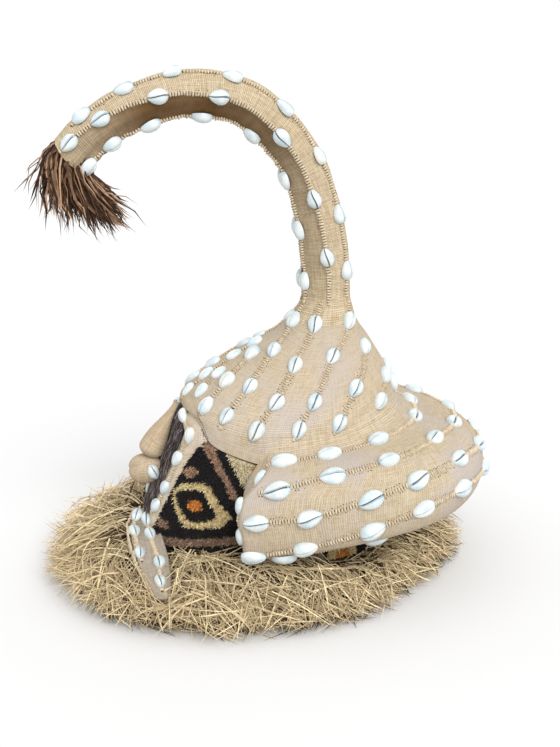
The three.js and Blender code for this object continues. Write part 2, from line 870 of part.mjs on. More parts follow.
// Rows of shells
const deg = THREE.MathUtils.degToRad;
function addRow(name, at, shells, size, blocks, reach) {
  const clear = (row) => blocks.every((block) => row.intersect(block).volume() < CLEAR);
  const rows = LIFTS.map((lift) => shellRow(at, shells, size, lift, reach));
  const found = rows.findIndex(clear);
  if (found < 0) {
    throw new Error(name + " never clears the cloth");
  }
  addPiece(name, rows[found], PORCELAIN);
}

Object.entries(TRUNK_ROWS).forEach(([name, { angle, shells }]) => {
  const at = (share) => trunkSurface(share, deg(along(angle, share)));
  addRow("trunk_row_" + name, at, shells, SHELL, [trunkBlock, hatBlock]);
});

function addHatRow(name, row, side) {
  const stops = row.map((_, i) => i / (row.length - 1));
  const at = (share) => {
    const [turn, out] = pathAt(row, share);
    return lieOf(hatSurface, side * deg(turn), clamp(out, ...HAT_ROW_ENDS), -1);
  };
  addRow(name, at, stops, SHELL, [hatBlock, trunkBlock]);
}
addHatRow("crown_row_front", HAT_FRONT_ROW, 1);
Object.entries(HAT_ROWS).forEach(([name, row]) => {
  addHatRow("crown_row_left_" + name, row, 1);
  addHatRow("crown_row_right_" + name, row, -1);
});

Object.entries(ROLL_ROWS).forEach(([name, { place, shells }]) => {
  const at = (share) => {
    const near = Math.min(share, 1 - share);
    return lieOf(rollSurface, share, along(place, near), -1);
  };
  const mirrored = shells.filter((share) => share < 0.5).map((share) => 1 - share);
  const all = [...shells, ...mirrored.reverse()];
  addRow("roll_row_" + name, at, all, BIG_SHELL, [rollBlock, hatBlock, collarBlock]);
});

["left", "right"].forEach((name, share) => {
  const ahead = rollPoint(rollReach(mix(STEP, 1 - STEP, share), 0.5), 0.5, 0.5);
  const normal = rollPoint(rollReach(share, 0.5), 0.5, 0.5).sub(ahead).normalize();
  const at = (place) => {
    const [across, up] = pathAt(ROLL_END_ROW, place);
    return { point: rollPoint(rollReach(share, up), across, up), normal: normal.clone() };
  };
  addRow("roll_end_row_" + name, at, END_SHELLS, SMALL_SHELL, [rollBlock, wallRoom]);
});

const bandSurface = (x, z) => {
  const grow = GAP + BAND_THICK;
  const across = clamp(x / (HELMET.halfWidth + grow), 0, 1);
  const turn = Math.asin(across ** (frontCorner(z) / 2));
  return helmetWall(turn, z, grow);
};
const bandBlock = helmetBlock(GAP + BAND_THICK + GAP);
[1, -1].forEach((side) => {
  const at = (share) => {
    const [x, z] = pathAt(BAND_ROW, share);
    const found = lieOf(bandSurface, x, z, 1);
    found.point.x *= side;
    found.normal.x *= side;
    return found;
  };
  const name = side > 0 ? "left" : "right";
  addRow("face_row_" + name, at, BAND_SHELLS, SMALL_SHELL, [bandBlock, hatBlock]);
});

[1, -1].forEach((side) => {
  const at = (share) => {
    const z = mix(MOUTH_SHELL.top, MOUTH_SHELL.bottom, share);
    const found = lieOf(bandSurface, MOUTH_SHELL.x, z, 1);
    found.point.addScaledVector(found.normal, FUR_THICK - BAND_THICK).x *= side;
    found.normal.x *= side;
    return found;
  };
  const name = side > 0 ? "left" : "right";
  addRow("mouth_shell_" + name, at, [0.5], SMALL_SHELL, [faceBlock, bulb], 1);
});

Object.entries(FLAP_ROWS).forEach(([name, { across, shells }]) => {
  const at = (share) => lieOf(flapSurface, share, along(across, share), 1);
  addRow("flap_row_" + name, at, shells, SMALL_SHELL, [flapBlock, wallRoom]);
});

// The origin is the middle of the underside of the whole mask.
const bounds = new THREE.Box3().setFromObject(mask);
const middle = bounds.getCenter(new THREE.Vector3());
mask.position.set(-middle.x, -middle.y, -bounds.min.z);

export default mask;
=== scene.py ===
"""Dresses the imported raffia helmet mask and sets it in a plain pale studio.

Lengths in the forms are millimetres about the upright head axis.
The face looks along -Y, and the wearer's left is +X.
"""

import logging
import math
from collections.abc import Callable, Iterator, Sequence
from contextlib import contextmanager
from dataclasses import dataclass, field
from enum import Enum
from functools import cache, partial

import bpy
import numpy as np
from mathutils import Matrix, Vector
from mathutils.bvhtree import BVHTree


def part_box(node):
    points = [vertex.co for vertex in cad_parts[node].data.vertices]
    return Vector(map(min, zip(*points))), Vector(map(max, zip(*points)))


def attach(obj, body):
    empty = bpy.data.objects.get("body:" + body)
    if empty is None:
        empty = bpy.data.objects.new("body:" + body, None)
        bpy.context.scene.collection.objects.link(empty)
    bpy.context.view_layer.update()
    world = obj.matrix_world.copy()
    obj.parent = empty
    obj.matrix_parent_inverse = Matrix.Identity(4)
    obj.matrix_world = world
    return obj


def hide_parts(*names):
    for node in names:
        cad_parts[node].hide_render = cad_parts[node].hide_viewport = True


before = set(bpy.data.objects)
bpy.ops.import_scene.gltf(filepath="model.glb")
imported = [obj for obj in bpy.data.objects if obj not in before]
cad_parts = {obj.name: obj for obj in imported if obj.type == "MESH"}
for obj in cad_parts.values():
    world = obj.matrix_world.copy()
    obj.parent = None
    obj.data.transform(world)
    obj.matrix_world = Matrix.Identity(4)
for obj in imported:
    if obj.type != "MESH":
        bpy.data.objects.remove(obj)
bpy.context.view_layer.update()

log = logging.getLogger("mask")

Array = np.ndarray
Line = Callable[[Array], Array]
Place = Callable[[Array, Array], Array]
Points = Sequence[Sequence[float]]
Piece = bpy.types.Object
Material = bpy.types.Material
Socket = bpy.types.NodeSocket

MM = 0.001
TURN = 2 * math.pi
BODY = "root"
WEAVE_MAP = "weave"
TONE = "tone"
# Attribute of the pile's dyes together with their painted shade and light.
DYE_AND_SHADE = "dye"


class Side(Enum):
    """Which side of the wearer a piece is on."""

    LEFT = 1
    RIGHT = -1


class Dye(Enum):
    """Colours of the cut pile, in linear light."""

    BLACK = (0.012, 0.011, 0.012)
    GOLD = (0.98, 0.73, 0.38)
    MAUVE = (0.46, 0.285, 0.19)
    ORANGE = (0.80, 0.29, 0.06)
    BEIGE = (0.98, 0.80, 0.50)
    UMBER = (0.36, 0.235, 0.16)


# Small sums


def mix(low: Array, high: Array, share: Array) -> Array:
    """Value at a share of the way from low to high."""
    return low + (high - low) * share


def smooth(value: Array, low: float, high: float) -> Array:
    """Smooth step from 0 at low to 1 at high."""
    share = np.clip((value - low) / (high - low), 0, 1)
    return share * share * (3 - 2 * share)


def along(pairs: Points, key: Array) -> Array:
    """Reads a list of [key, value] pairs between its entries."""
    table = np.asarray(pairs, float)
    return np.interp(key, table[:, 0], table[:, 1])


def read(at: Array, reach: Array, table: Array) -> Array:
    """Rows of a table, known at each reach, read at other places."""
    return np.stack([np.interp(at, reach, column) for column in table.T], -1)


def path_at(points: Points, share: Array) -> Array:
    """Reads a path given as points at equal steps, by shares of the way along it."""
    table = np.asarray(points, float)
    return read(share, np.linspace(0, 1, len(table)), table)


def distances(points: Array) -> Array:
    """How far along a path each of its points lies."""
    return np.concatenate([[0], np.cumsum(np.linalg.norm(np.diff(points, axis=0), axis=1))])


def from_front(turn: Array) -> Array:
    """Degrees between a turn and the face, the same on both sides."""
    degrees = np.mod(np.degrees(turn), 360)
    return np.minimum(degrees, 360 - degrees)


def unit(vectors: Array) -> Array:
    """Vectors scaled to length one."""
    return vectors / np.maximum(np.linalg.norm(vectors, axis=-1, keepdims=True), 1e-12)


def to_frame(points: Array) -> Array:
    """Moves points from head axes in millimetres to the model's frame in metres."""
    return (np.asarray(points, float) + HEAD_AXIS) * MM


def head_axis() -> Array:
    """Place of the head axis in the model's frame, read from the helmet wall, in millimetres."""
    low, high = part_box("helmet_shell")
    helmet = HelmetForm()
    return np.array([(low.x + high.x) / 2 / MM, high.y / MM - helmet.back, 0.0])


# Forms that the solids were made on


@dataclass(frozen=True)
class HelmetForm:
    """Helmet wall: an egg in plan, its front leaning out to the chin."""

    half_width: float = 93.0
    back: float = 111.0
    brow_front: float = 107.0
    brow_height: float = 183.0
    chin_lean: float = 0.357
    corner_at_brow: float = 2.3
    corner_at_rim: float = 2.1
    back_corner: float = 2.2
    rim: float = 42.0
    layer: float = 5.3

    def front_corner(self, height: Array) -> Array:
        """How square the front half is at a height."""
        return mix(self.corner_at_rim, self.corner_at_brow, smooth(height, 60, 170))

    def wall(self, turn: Array, height: Array, grow: Array = 0.0) -> Array:
        """Points on the wall.

        Args:
            turn: turns about the head axis, 0 at the face and a quarter turn at the left ear.
            height: heights of the points.
            grow: distance outside the wall.

        Returns:
            The points, one row each.
        """
        turn, height, grow = np.broadcast_arrays(np.asarray(turn, float), height, grow)
        sin, cos = np.sin(turn), np.cos(turn)
        lean = self.brow_height - np.clip(height, 50, 190)
        front = self.brow_front + grow + self.chin_lean * lean
        corner = np.where(cos > 0, self.front_corner(height), self.back_corner)
        long = np.where(cos > 0, front, self.back + grow)
        power = 2 / corner
        x = (self.half_width + grow) * np.sign(sin) * np.abs(sin) ** power
        y = -long * np.sign(cos) * np.abs(cos) ** power
        return np.stack([x, y, height], -1)

    def turn_at(self, x: Array, height: Array, grow: Array = 0.0) -> Array:
        """The turn at which the front of the wall is x to the left."""
        share = np.clip(np.abs(x) / (self.half_width + grow), 0, 1)
        return np.sign(x) * np.arcsin(share ** (self.front_corner(height) / 2))

    def facing(self, x: Array, height: Array, grow: Array = 0.0) -> Array:
        """Point on the front of the wall by its place to the left and its height."""
        return self.wall(self.turn_at(x, height, grow), height, grow)


@dataclass(frozen=True)
class HatForm:
    """Conical hat from the foot of the trunk to the brim, with a skirt below the brim."""

    helmet: HelmetForm = field(default_factory=HelmetForm)
    brim_mean: float = 178.5
    brim_forward: float = -5.0
    brim_saddle: float = 12.5
    hem: tuple = (
        (0, 181), (24.7, 180), (32.7, 171), (39, 159.5), (45.3, 154),
        (54.2, 149), (60.4, 145), (68, 140), (76, 136),
    )
    top_centre: float = 45.5
    top_height: float = 283.0
    top_radius: float = 26.0
    profile: tuple = (
        (0, 0), (0.09, 0.17), (0.22, 0.31), (0.42, 0.45), (0.62, 0.6), (0.8, 0.75), (0.94, 0.9), (1, 1),
    )

    def brim(self, turn: Array) -> Array:
        """Height of the brim at a turn."""
        return self.brim_mean + self.brim_forward * np.cos(turn) + self.brim_saddle * np.cos(2 * turn)

    def skirt(self, turn: Array) -> Array:
        """Height of the skirt's lower edge at a turn."""
        return along(self.hem, np.degrees(np.arccos(np.cos(turn))))

    def surface(self, turn: Array, out: Array) -> Array:
        """Point on the cone.

        Args:
            turn: turn about the head axis.
            out: share of the way from the trunk to the brim.

        Returns:
            The points, one row each.
        """
        turn, out = np.broadcast_arrays(np.asarray(turn, float), out)
        brim = self.helmet.wall(turn, self.brim(turn), self.helmet.layer)
        x = mix(self.top_radius * np.sin(turn), brim[..., 0], out)
        y = mix(self.top_centre - self.top_radius * np.cos(turn), brim[..., 1], out)
        z = mix(self.top_height, brim[..., 2], along(self.profile, out))
        return np.stack([x, y, z], -1)


@dataclass(frozen=True)
class TrunkForm:
    """Trunk: a stuffed tube along a smooth line in the plane of the nose."""

    base_radius: float = 25.2
    tip_radius: float = 23.4
    line: tuple = (
        (45.5, 283.4), (44.4, 322), (33.5, 382), (8, 439), (-42, 484),
        (-98, 493), (-153, 478), (-191, 455), (-210, 436),
    )

    def centres(self, samples: int = 400) -> tuple[Array, Array]:
        """Points at equal distances along the line, and the directions there."""
        knots = np.array([(0.0, y, z) for y, z in self.line])
        first, last = 2 * knots[0] - knots[1], 2 * knots[-1] - knots[-2]
        knots = np.vstack([first, knots, last])
        run = []
        for p0, p1, p2, p3 in zip(knots, knots[1:], knots[2:], knots[3:]):
            d0, d1, d2 = (np.linalg.norm(b - a) ** 0.5 for a, b in ((p0, p1), (p1, p2), (p2, p3)))
            t1 = ((p1 - p0) / d0 - (p2 - p0) / (d0 + d1) + (p2 - p1) / d1) * d1
            t2 = ((p2 - p1) / d1 - (p3 - p1) / (d1 + d2) + (p3 - p2) / d2) * d1
            s = np.linspace(0, 1, 60, endpoint=False)[:, None]
            run.append(p1 + t1 * s + (3 * (p2 - p1) - 2 * t1 - t2) * s**2 + (2 * (p1 - p2) + t1 + t2) * s**3)
        run = np.vstack([*run, knots[-2:-1]])
        reach = distances(run)
        points = read(np.linspace(0, reach[-1], samples), reach, run)
        return points, unit(np.gradient(points, axis=0))

    def surface(self, share: Array, angle: Array, grow: Array = 0.0) -> Array:
        """Point on the tube.

        Args:
            share: share of the length from the hat.
            angle: angle from the outer side of the bend towards the wearer's left.
            grow: distance outside the tube.

        Returns:
            The points, one row each.
        """
        share, angle, grow = np.broadcast_arrays(np.asarray(share, float), angle, grow)
        points, ahead = self.centres()
        steps = np.linspace(0, 1, len(points))
        centre, run = read(share, steps, points), unit(read(share, steps, ahead))
        outer = np.stack([np.zeros_like(share), run[..., 2], -run[..., 1]], -1)
        side = np.zeros_like(outer)
        side[..., 0] = 1
        normal = outer * np.cos(angle)[..., None] + side * np.sin(angle)[..., None]
        return centre + normal * (mix(self.base_radius, self.tip_radius, share) + grow)[..., None]


@dataclass(frozen=True)
class RollForm:
    """Padded roll: a horseshoe round the sides and back, deeper behind."""

    helmet: HelmetForm = field(default_factory=HelmetForm)
    front_turn: float = 1.02
    width: tuple = (50.0, 98.0)
    bottom: tuple = (50.0, 78.0)
    top: tuple = (147.5, 160.0)
    wall_height: float = 120.0
    clear: float = 6.0
    tuck: float = 3.5
    heel_width: float = 0.4
    heel_below: float = 8.0
    end_turn: tuple = ((0, 1.13), (0.25, 1.135), (0.5, 1.11), (0.75, 1.135), (0.92, 1.235), (1, 1.295))
    section: tuple = (
        (0, 0.1), (0, 0.5), (0, 0.95), (0.1, 1), (0.42, 0.99), (0.72, 0.92),
        (0.93, 0.75), (1, 0.5), (0.96, 0.25), (0.82, 0.07), (0.5, 0), (0.18, 0),
    )

    def turn(self, share: Array) -> Array:
        """Turn at a share of the rows' length, from the wearer's left front end."""
        return mix(self.front_turn, TURN - self.front_turn, np.asarray(share, float))

    def reach(self, share: Array, up: Array) -> Array:
        """Turn at a share of the stuffing's length, whose blunt ends lean back towards the top."""
        end = along(self.end_turn, up)
        return mix(end, TURN - end, share)

    def point(self, turn: Array, across: Array, up: Array) -> Array:
        """Point of the roll's section at a turn, by share of its width and share of its height."""
        back = smooth(-np.cos(turn), -0.45, 0.85)
        step = 1e-3
        inner = self.helmet.wall(turn, self.wall_height, self.clear)
        ahead = self.helmet.wall(turn + step, self.wall_height, 5.0)
        ahead = ahead - self.helmet.wall(turn - step, self.wall_height, 5.0)
        outward = unit(np.stack([ahead[..., 1], -ahead[..., 0], np.zeros_like(ahead[..., 0])], -1))
        point = inner + outward * (across * mix(*self.width, back))[..., None]
        top = mix(*self.top, back)
        heel = np.clip(1 - across / self.heel_width, 0, 1) ** 2 * np.clip(up, 0, 1) ** 4
        rise = HatForm(self.helmet).brim(turn) - self.heel_below - top
        low = mix(*self.bottom, back) + self.tuck * smooth(np.sin(turn), 0.75, 1.0)
        point[..., 2] = mix(low, top, up) + heel * rise
        return point

    def surface(self, share: Array, place: Array) -> Array:
        """Point by share of the roll's length and place on its section."""
        share, place = np.broadcast_arrays(np.asarray(share, float), place)
        ring = np.asarray([*self.section, self.section[0]], float)
        across, up = np.moveaxis(read(np.mod(place, len(self.section)), np.arange(len(ring)), ring), -1, 0)
        return self.point(self.turn(share), across, up)


@dataclass(frozen=True)
class CollarForm:
    """Ring of raffia round the helmet's rim, falling outwards."""

    helmet: HelmetForm = field(default_factory=HelmetForm)
    top: float = 41.6
    middle: float = 34.0
    edge: float = 14.0
    reach: tuple = ((0, 88), (30, 94), (65, 98), (95, 84), (125, 62), (150, 66), (180, 86))

    def reach_at(self, turn: Array) -> Array:
        """Reach of the fibres from the rim at a turn."""
        return along(self.reach, from_front(turn))

    def height(self, share: Array) -> Array:
        """Height of the collar's top at a share of its reach."""
        return along(((0, self.top), (0.5, self.middle), (1, self.edge), (1.25, 5.0)), share)

    def point(self, turn: Array, share: Array, height: Array) -> Array:
        """Point of the collar by turn, share of its reach and height."""
        point = self.helmet.wall(turn, self.helmet.rim, share * self.reach_at(turn))
        point[..., 2] = height
        return point


FLAP_LINE = (
    (2, -154, 65, 9.5), (20, -159, 53, 14.5), (54, -159, 48, 15.5),
    (84, -157, 42, 14.5), (112, -155, 35.5, 11.5), (136, -154, 28, 6),
)
BEHIND = (0, 10, 0)
BELOW = (0, 0, -10)
FIRST_ROW = ((0, 3.8), (0.15, 3.5), (0.26, 3.36), (0.5, 3.5))
HEAD_AXIS = head_axis()
HELMET = HelmetForm()
HAT = HatForm()
TRUNK = TrunkForm()
ROLL = RollForm()
COLLAR = CollarForm()


# Finishes


class Recipe:
    """One material's nodes, put together a line at a time."""

    def __init__(self, name: str) -> None:
        """Starts a material with an empty surface shader."""
        self.material = bpy.data.materials.new(name)
        self.material.use_nodes = True
        self.nodes = self.material.node_tree.nodes
        self.links = self.material.node_tree.links
        self.shader = self.nodes["Principled BSDF"]

    def add(self, kind: str, inputs: dict | None = None, **settings: object) -> bpy.types.Node:
        """Adds a node.

        Args:
            kind: the node's type name.
            inputs: values or sockets for its inputs.
            settings: its own settings.

        Returns:
            The node.
        """
        node = self.nodes.new(kind)
        for key, value in settings.items():
            setattr(node, key, value)
        for key, value in (inputs or {}).items():
            self.feed(node.inputs[key], value)
        return node

    def feed(self, socket: Socket, value: object) -> None:
        """Joins a socket to another, or sets it to a value."""
        if isinstance(value, Socket):
            self.links.new(value, socket)
        else:
            socket.default_value = value

    def surface(self, **inputs: object) -> None:
        """Sets inputs of the surface shader; an underscore stands for a space."""
        for key, value in inputs.items():
            self.feed(self.shader.inputs[key.replace("_", " ")], value)

    def place(self) -> Socket:
        """Place on the piece."""
        return self.add("ShaderNodeTexCoord").outputs["Object"]

    def weave(self, scale: Sequence[float] = (1, 1, 1)) -> Socket:
        """Place on the cloth, in millimetres across and along it, scaled."""
        spot = self.add("ShaderNodeUVMap", uv_map=WEAVE_MAP).outputs["UV"]
        return self.add("ShaderNodeMapping", {"Vector": spot, "Scale": scale}).outputs["Vector"]

    def noise(self, where: object, scale: float, detail: float = 2.0, rough: float = 0.5) -> Socket:
        """Soft random value."""
        inputs = {"Vector": where, "Scale": scale, "Detail": detail, "Roughness": rough}
        return self.add("ShaderNodeTexNoise", inputs).outputs["Fac"]

    def bands(self, where: object, scale: float, axis: str, waver: float = 0.0) -> Socket:
        """Bands across one axis."""
        inputs = {"Vector": where, "Scale": scale, "Distortion": waver, "Detail": 1.0, "Detail Scale": 0.6}
        return self.add("ShaderNodeTexWave", inputs, bands_direction=axis).outputs["Fac"]

    def span(self, value: object, low: float, high: float, start: float = 0.0, end: float = 1.0) -> Socket:
        """A value spread from one range to another and held inside it."""
        inputs = {"Value": value, "From Min": low, "From Max": high, "To Min": start, "To Max": end}
        return self.add("ShaderNodeMapRange", inputs).outputs["Result"]

    def sums(self, operation: str, first: object, second: object) -> Socket:
        """One sum of two values."""
        return self.add("ShaderNodeMath", {0: first, 1: second}, operation=operation).outputs[0]

    def times(self, first: object, second: object) -> Socket:
        """Two values multiplied."""
        return self.sums("MULTIPLY", first, second)

    def blend(self, share: object, low: object, high: object) -> Socket:
        """Blend of two colours."""
        low, high = ((*c, 1.0) if isinstance(c, tuple) else c for c in (low, high))
        return self.add("ShaderNodeMix", {0: share, 6: low, 7: high}, data_type="RGBA").outputs[2]

    def bump(self, height: object, strength: float, distance: float, under: object = None) -> object:
        """Relief from a height, laid over another relief if one is given."""
        inputs = {"Height": height, "Strength": strength, "Distance": distance}
        if under is not None:
            inputs["Normal"] = under
        return self.add("ShaderNodeBump", inputs).outputs["Normal"]

    def attribute(self, name: str, output: str = "Fac") -> Socket:
        """A value or colour that the piece carries."""
        return self.add("ShaderNodeAttribute", attribute_name=name).outputs[output]


@dataclass(frozen=True)
class ClothFinish:
    """Plain raffia cloth: fine threads both ways, tan, with greyish worn patches. Where a piece carries a
    tone the cloth is darker: painted shade on the trunk's underside, and darker towards the chin end on the
    flap.
    """

    name: str = "raffia_cloth"
    light: tuple = (0.54, 0.455, 0.328)
    deep: tuple = (0.42, 0.335, 0.224)
    worn: tuple = (0.47, 0.425, 0.40)
    # Colour the cloth darkens towards where a piece carries a tone; on the trunk this is painted shade.
    darkening: tuple = (0.115, 0.06, 0.02)
    wear: float = 0.8
    rib: float = 1.75
    thread: float = 1.55
    open: float = 0.5
    bright_fleck: tuple = (0.70, 0.60, 0.46)
    dark_fleck: tuple = (0.33, 0.24, 0.15)
    gap: tuple = (0.15, 0.09, 0.05)
    dot: tuple = (0.14, 0.085, 0.05)

    def material(self) -> Material:
        """Makes the cloth's material."""
        r = Recipe(self.name)
        place, cloth = r.place(), r.weave()
        ribs = r.bands(cloth, 0.314 / self.rib, "Y", 2.0)
        threads = r.bands(cloth, 0.314 / self.thread, "X", 2.0)
        run, rise = (r.noise(r.weave(scale), 1.0, 2, 0.6) for scale in ((0.045, 0.5, 1), (0.5, 0.045, 1)))
        streak = r.sums("ADD", run, rise)
        fleck = r.noise(r.weave((0.55, 0.75, 1)), 1.0, 2, 0.7)
        blotches = r.noise(place, 14, 4, 0.62)
        colour = r.blend(r.span(streak, 0.82, 1.2), self.light, self.deep)
        colour = r.blend(r.span(fleck, 0.52, 0.75, 0, 0.5), colour, self.bright_fleck)
        colour = r.blend(r.span(fleck, 0.45, 0.25, 0, 0.45), colour, self.dark_fleck)
        height = r.add("ShaderNodeSeparateXYZ", {"Vector": place}).outputs["Z"]
        worn = r.span(height, 0.13, 0.27, self.wear, 0.35 * self.wear)
        worn = r.times(worn, r.span(height, 0.075, 0.12, 0.25, 1))
        patch = r.times(r.span(blotches, 0.44, 0.6), worn)
        colour = r.blend(patch, colour, self.worn)
        # Painted shade on the trunk's underside, from its tone; the flap's tone makes it darker towards its
        # chin end.
        darkened = r.times(r.attribute(TONE), r.span(blotches, 0.25, 0.6, 0.75, 1))
        colour = r.blend(darkened, colour, self.darkening)
        gaps = r.times(r.span(ribs, 0.0, 0.5, 1, 0), r.span(threads, 0.0, 0.8, 1, 0.3))
        colour = r.blend(r.times(gaps, self.open), colour, self.gap)
        dots = r.span(r.noise(r.weave((0.55, 0.55, 1)), 1.0, 1, 0.5), 0.68, 0.74, 0, 0.55)
        colour = r.blend(dots, colour, self.dot)
        r.surface(Base_Color=colour, Roughness=r.span(streak, 0.7, 1.3, 0.82, 0.95), Specular_IOR_Level=0.08)
        height = r.sums("ADD", r.times(ribs, 0.6), r.times(threads, 0.4))
        slub = r.bump(r.noise(r.weave((0.2, 0.3, 1)), 1.0, 3, 0.6), 0.25, 0.0008)
        r.surface(Normal=r.bump(height, 0.55, 0.0007, slub))
        return r.material


@dataclass(frozen=True)
class StrandFinish:
    """Loose raffia, straw or hair, with one tone to each strand."""

    name: str
    dark: tuple
    middle: tuple
    light: tuple
    rough: float = 0.7
    shine: float = 0.15

    def material(self) -> Material:
        """Makes the strands' material."""
        r = Recipe(self.name)
        tone = r.attribute(TONE)
        lower = r.blend(r.span(tone, 0, 0.5), self.dark, self.middle)
        colour = r.blend(r.span(tone, 0.5, 1), lower, self.light)
        mottle = r.noise(r.place(), 260, 3, 0.6)
        colour = r.blend(r.span(mottle, 0.4, 0.75, 0, 0.45), colour, self.dark)
        r.surface(Base_Color=colour, Roughness=self.rough, Specular_IOR_Level=self.shine)
        r.surface(Normal=r.bump(mottle, 0.3, 0.0003))
        return r.material


@dataclass(frozen=True)
class PileFinish:
    """Cut pile, its dyes, with painted shade and painted light, carried by the tufts and the ground."""

    name: str = "cut_pile"
    root: tuple = (0.02, 0.014, 0.01)

    def material(self) -> Material:
        """Makes the pile's material."""
        r = Recipe(self.name)
        dyed = r.attribute(DYE_AND_SHADE, "Color")
        grain = r.noise(r.place(), 420, 2, 0.6)
        colour = r.blend(r.span(grain, 0.35, 0.75, 0.0, 0.5), dyed, self.root)
        r.surface(Base_Color=colour, Roughness=0.95, Specular_IOR_Level=0.1, Sheen_Weight=0.12)
        r.surface(Normal=r.bump(grain, 0.5, 0.0006))
        return r.material


@dataclass(frozen=True)
class PorcelainFinish:
    """Cowrie shell: hard white gloss, a little blue in the shade and yellow at the lips."""

    name: str = "cowrie"
    body: tuple = (0.66, 0.70, 0.70)
    shade: tuple = (0.46, 0.55, 0.59)
    lip: tuple = (0.66, 0.63, 0.52)

    def material(self) -> Material:
        """Makes the shell's material."""
        r = Recipe(self.name)
        place = r.place()
        cloud = r.noise(place, 90, 3, 0.55)
        colour = r.blend(r.span(cloud, 0.38, 0.66), self.body, self.shade)
        colour = r.blend(r.span(r.noise(place, 60, 2, 0.5), 0.56, 0.72, 0, 0.6), colour, self.lip)
        r.surface(Base_Color=colour, Roughness=r.span(cloud, 0.3, 0.7, 0.22, 0.38), Specular_IOR_Level=0.5)
        r.surface(Coat_Weight=0.25, Coat_Roughness=0.15)
        r.surface(Normal=r.bump(r.noise(place, 700, 2, 0.5), 0.12, 0.0003))
        return r.material


@dataclass(frozen=True)
class PlainFinish:
    """Small parts of one stuff, mottled and matt: knots, needle holes, and painted shade between stitches and
    in shell slits.
    """

    name: str
    light: tuple
    dark: tuple
    grain: float = 500.0
    rough: float = 0.85

    def material(self) -> Material:
        """Makes the material."""
        r = Recipe(self.name)
        spots = r.noise(r.place(), self.grain, 2, 0.6)
        r.surface(Base_Color=r.blend(r.span(spots, 0.35, 0.7), self.light, self.dark), Roughness=self.rough)
        r.surface(Specular_IOR_Level=0.25, Normal=r.bump(spots, 0.4, 0.0005))
        return r.material


@dataclass(frozen=True)
class CaneFinish:
    """Plaited cane wall of the helmet, with its splints going over and under."""

    name: str = "inner_cane"
    light: tuple = (0.42, 0.28, 0.15)
    dark: tuple = (0.16, 0.095, 0.045)

    def material(self) -> Material:
        """Makes the cane's material."""
        r = Recipe(self.name)
        place = r.place()
        axes = r.add("ShaderNodeSeparateXYZ", {"Vector": place}).outputs
        turn = r.sums("ARCTAN2", axes["X"], axes["Y"])
        spot = r.add("ShaderNodeCombineXYZ", {"X": r.times(turn, 0.1), "Y": axes["Z"]}).outputs[0]
        across, up = r.bands(spot, 38, "X", 0.6), r.bands(spot, 52, "Y", 0.6)
        plait = r.times(across, up)
        grain = r.noise(place, 160, 3, 0.6)
        colour = r.blend(r.span(plait, 0.05, 0.6), self.dark, self.light)
        colour = r.blend(r.span(grain, 0.4, 0.75, 0, 0.5), colour, self.dark)
        r.surface(Base_Color=colour, Roughness=0.7, Normal=r.bump(plait, 0.8, 0.0015))
        return r.material


@dataclass(frozen=True)
class FloorFinish:
    """Pale seamless floor."""

    name: str = "pale_floor"
    light: tuple = (0.70, 0.70, 0.70)
    dark: tuple = (0.66, 0.66, 0.66)

    def material(self) -> Material:
        """Makes the floor's material."""
        r = Recipe(self.name)
        soft = r.noise(r.place(), 2.0, 2, 0.5)
        r.surface(Base_Color=r.blend(soft, self.light, self.dark), Roughness=0.9)
        return r.material


CLOTH = ClothFinish()
TRUNK_CLOTH = ClothFinish(
    "trunk_cloth", (0.575, 0.48, 0.33), (0.39, 0.302, 0.184), wear=0.15, rib=2.0, thread=1.8, open=0.75
)
PALE_CLOTH = ClothFinish(
    "pale_cloth", (0.66, 0.565, 0.425), (0.56, 0.46, 0.34), (0.52, 0.475, 0.43), wear=0.5
)
NOSE_CLOTH = ClothFinish("nose_cloth", (0.53, 0.425, 0.29), (0.40, 0.30, 0.19), wear=0.1)
FLAP_CLOTH = ClothFinish("flap_cloth", (0.42, 0.37, 0.30), (0.32, 0.27, 0.205), (0.37, 0.345, 0.33), wear=1.0)
# On the collar a strand's tone is partly painted light and shade by where it lies: its dark end stands for
# straws in shade, its light end for lit straws.
STRAW = StrandFinish("straw_raffia", (0.028, 0.016, 0.007), (0.20, 0.13, 0.055), (0.95, 0.785, 0.50))
# Near-black mat under the collar's straw: painted shade deep in the heap.
COLLAR_SHADE_MAT = StrandFinish("straw_shade_mat", (0.018, 0.012, 0.006), (0.045, 0.03, 0.014), (0.09, 0.065, 0.03))
DARK_RAFFIA = StrandFinish("dark_raffia", (0.016, 0.008, 0.005), (0.16, 0.08, 0.042), (0.60, 0.38, 0.235))
FUR = StrandFinish("dark_fur", (0.02, 0.013, 0.013), (0.085, 0.063, 0.06), (0.42, 0.37, 0.35), 0.5, 0.4)
KNOTS = PlainFinish("stitching", (0.64, 0.545, 0.40), (0.42, 0.33, 0.215), 300)
# Needle holes, and painted shade in the gaps between stitches.
HOLES_AND_GAP_SHADE = PlainFinish("needle_holes_and_gap_shade", (0.07, 0.04, 0.022), (0.03, 0.018, 0.01), 900, 0.95)
# Painted shade in the cowrie's opening.
SLIT_SHADE = PlainFinish("shell_slit_shade", (0.055, 0.06, 0.07), (0.02, 0.02, 0.025), 900, 0.6)
SHELL_WHITE = PorcelainFinish()
PILE = PileFinish()


@cache
def material_of(finish: object) -> Material:
    """The material of a finish, made the first time it is asked for."""
    return finish.material()


# Work at the bench


def deselect_all() -> None:
    """Leaves nothing selected."""
    bpy.ops.object.select_all(action="DESELECT")


def choose(piece: Piece) -> None:
    """Selects one piece and nothing else."""
    deselect_all()
    piece.select_set(True)
    bpy.context.view_layer.objects.active = piece


def take(name: str) -> Piece:
    """Names the piece that was just added, and fixes its place and size in its mesh."""
    piece = bpy.context.active_object
    piece.name = piece.data.name = name
    bpy.ops.object.transform_apply(location=True, rotation=True, scale=True)
    return piece


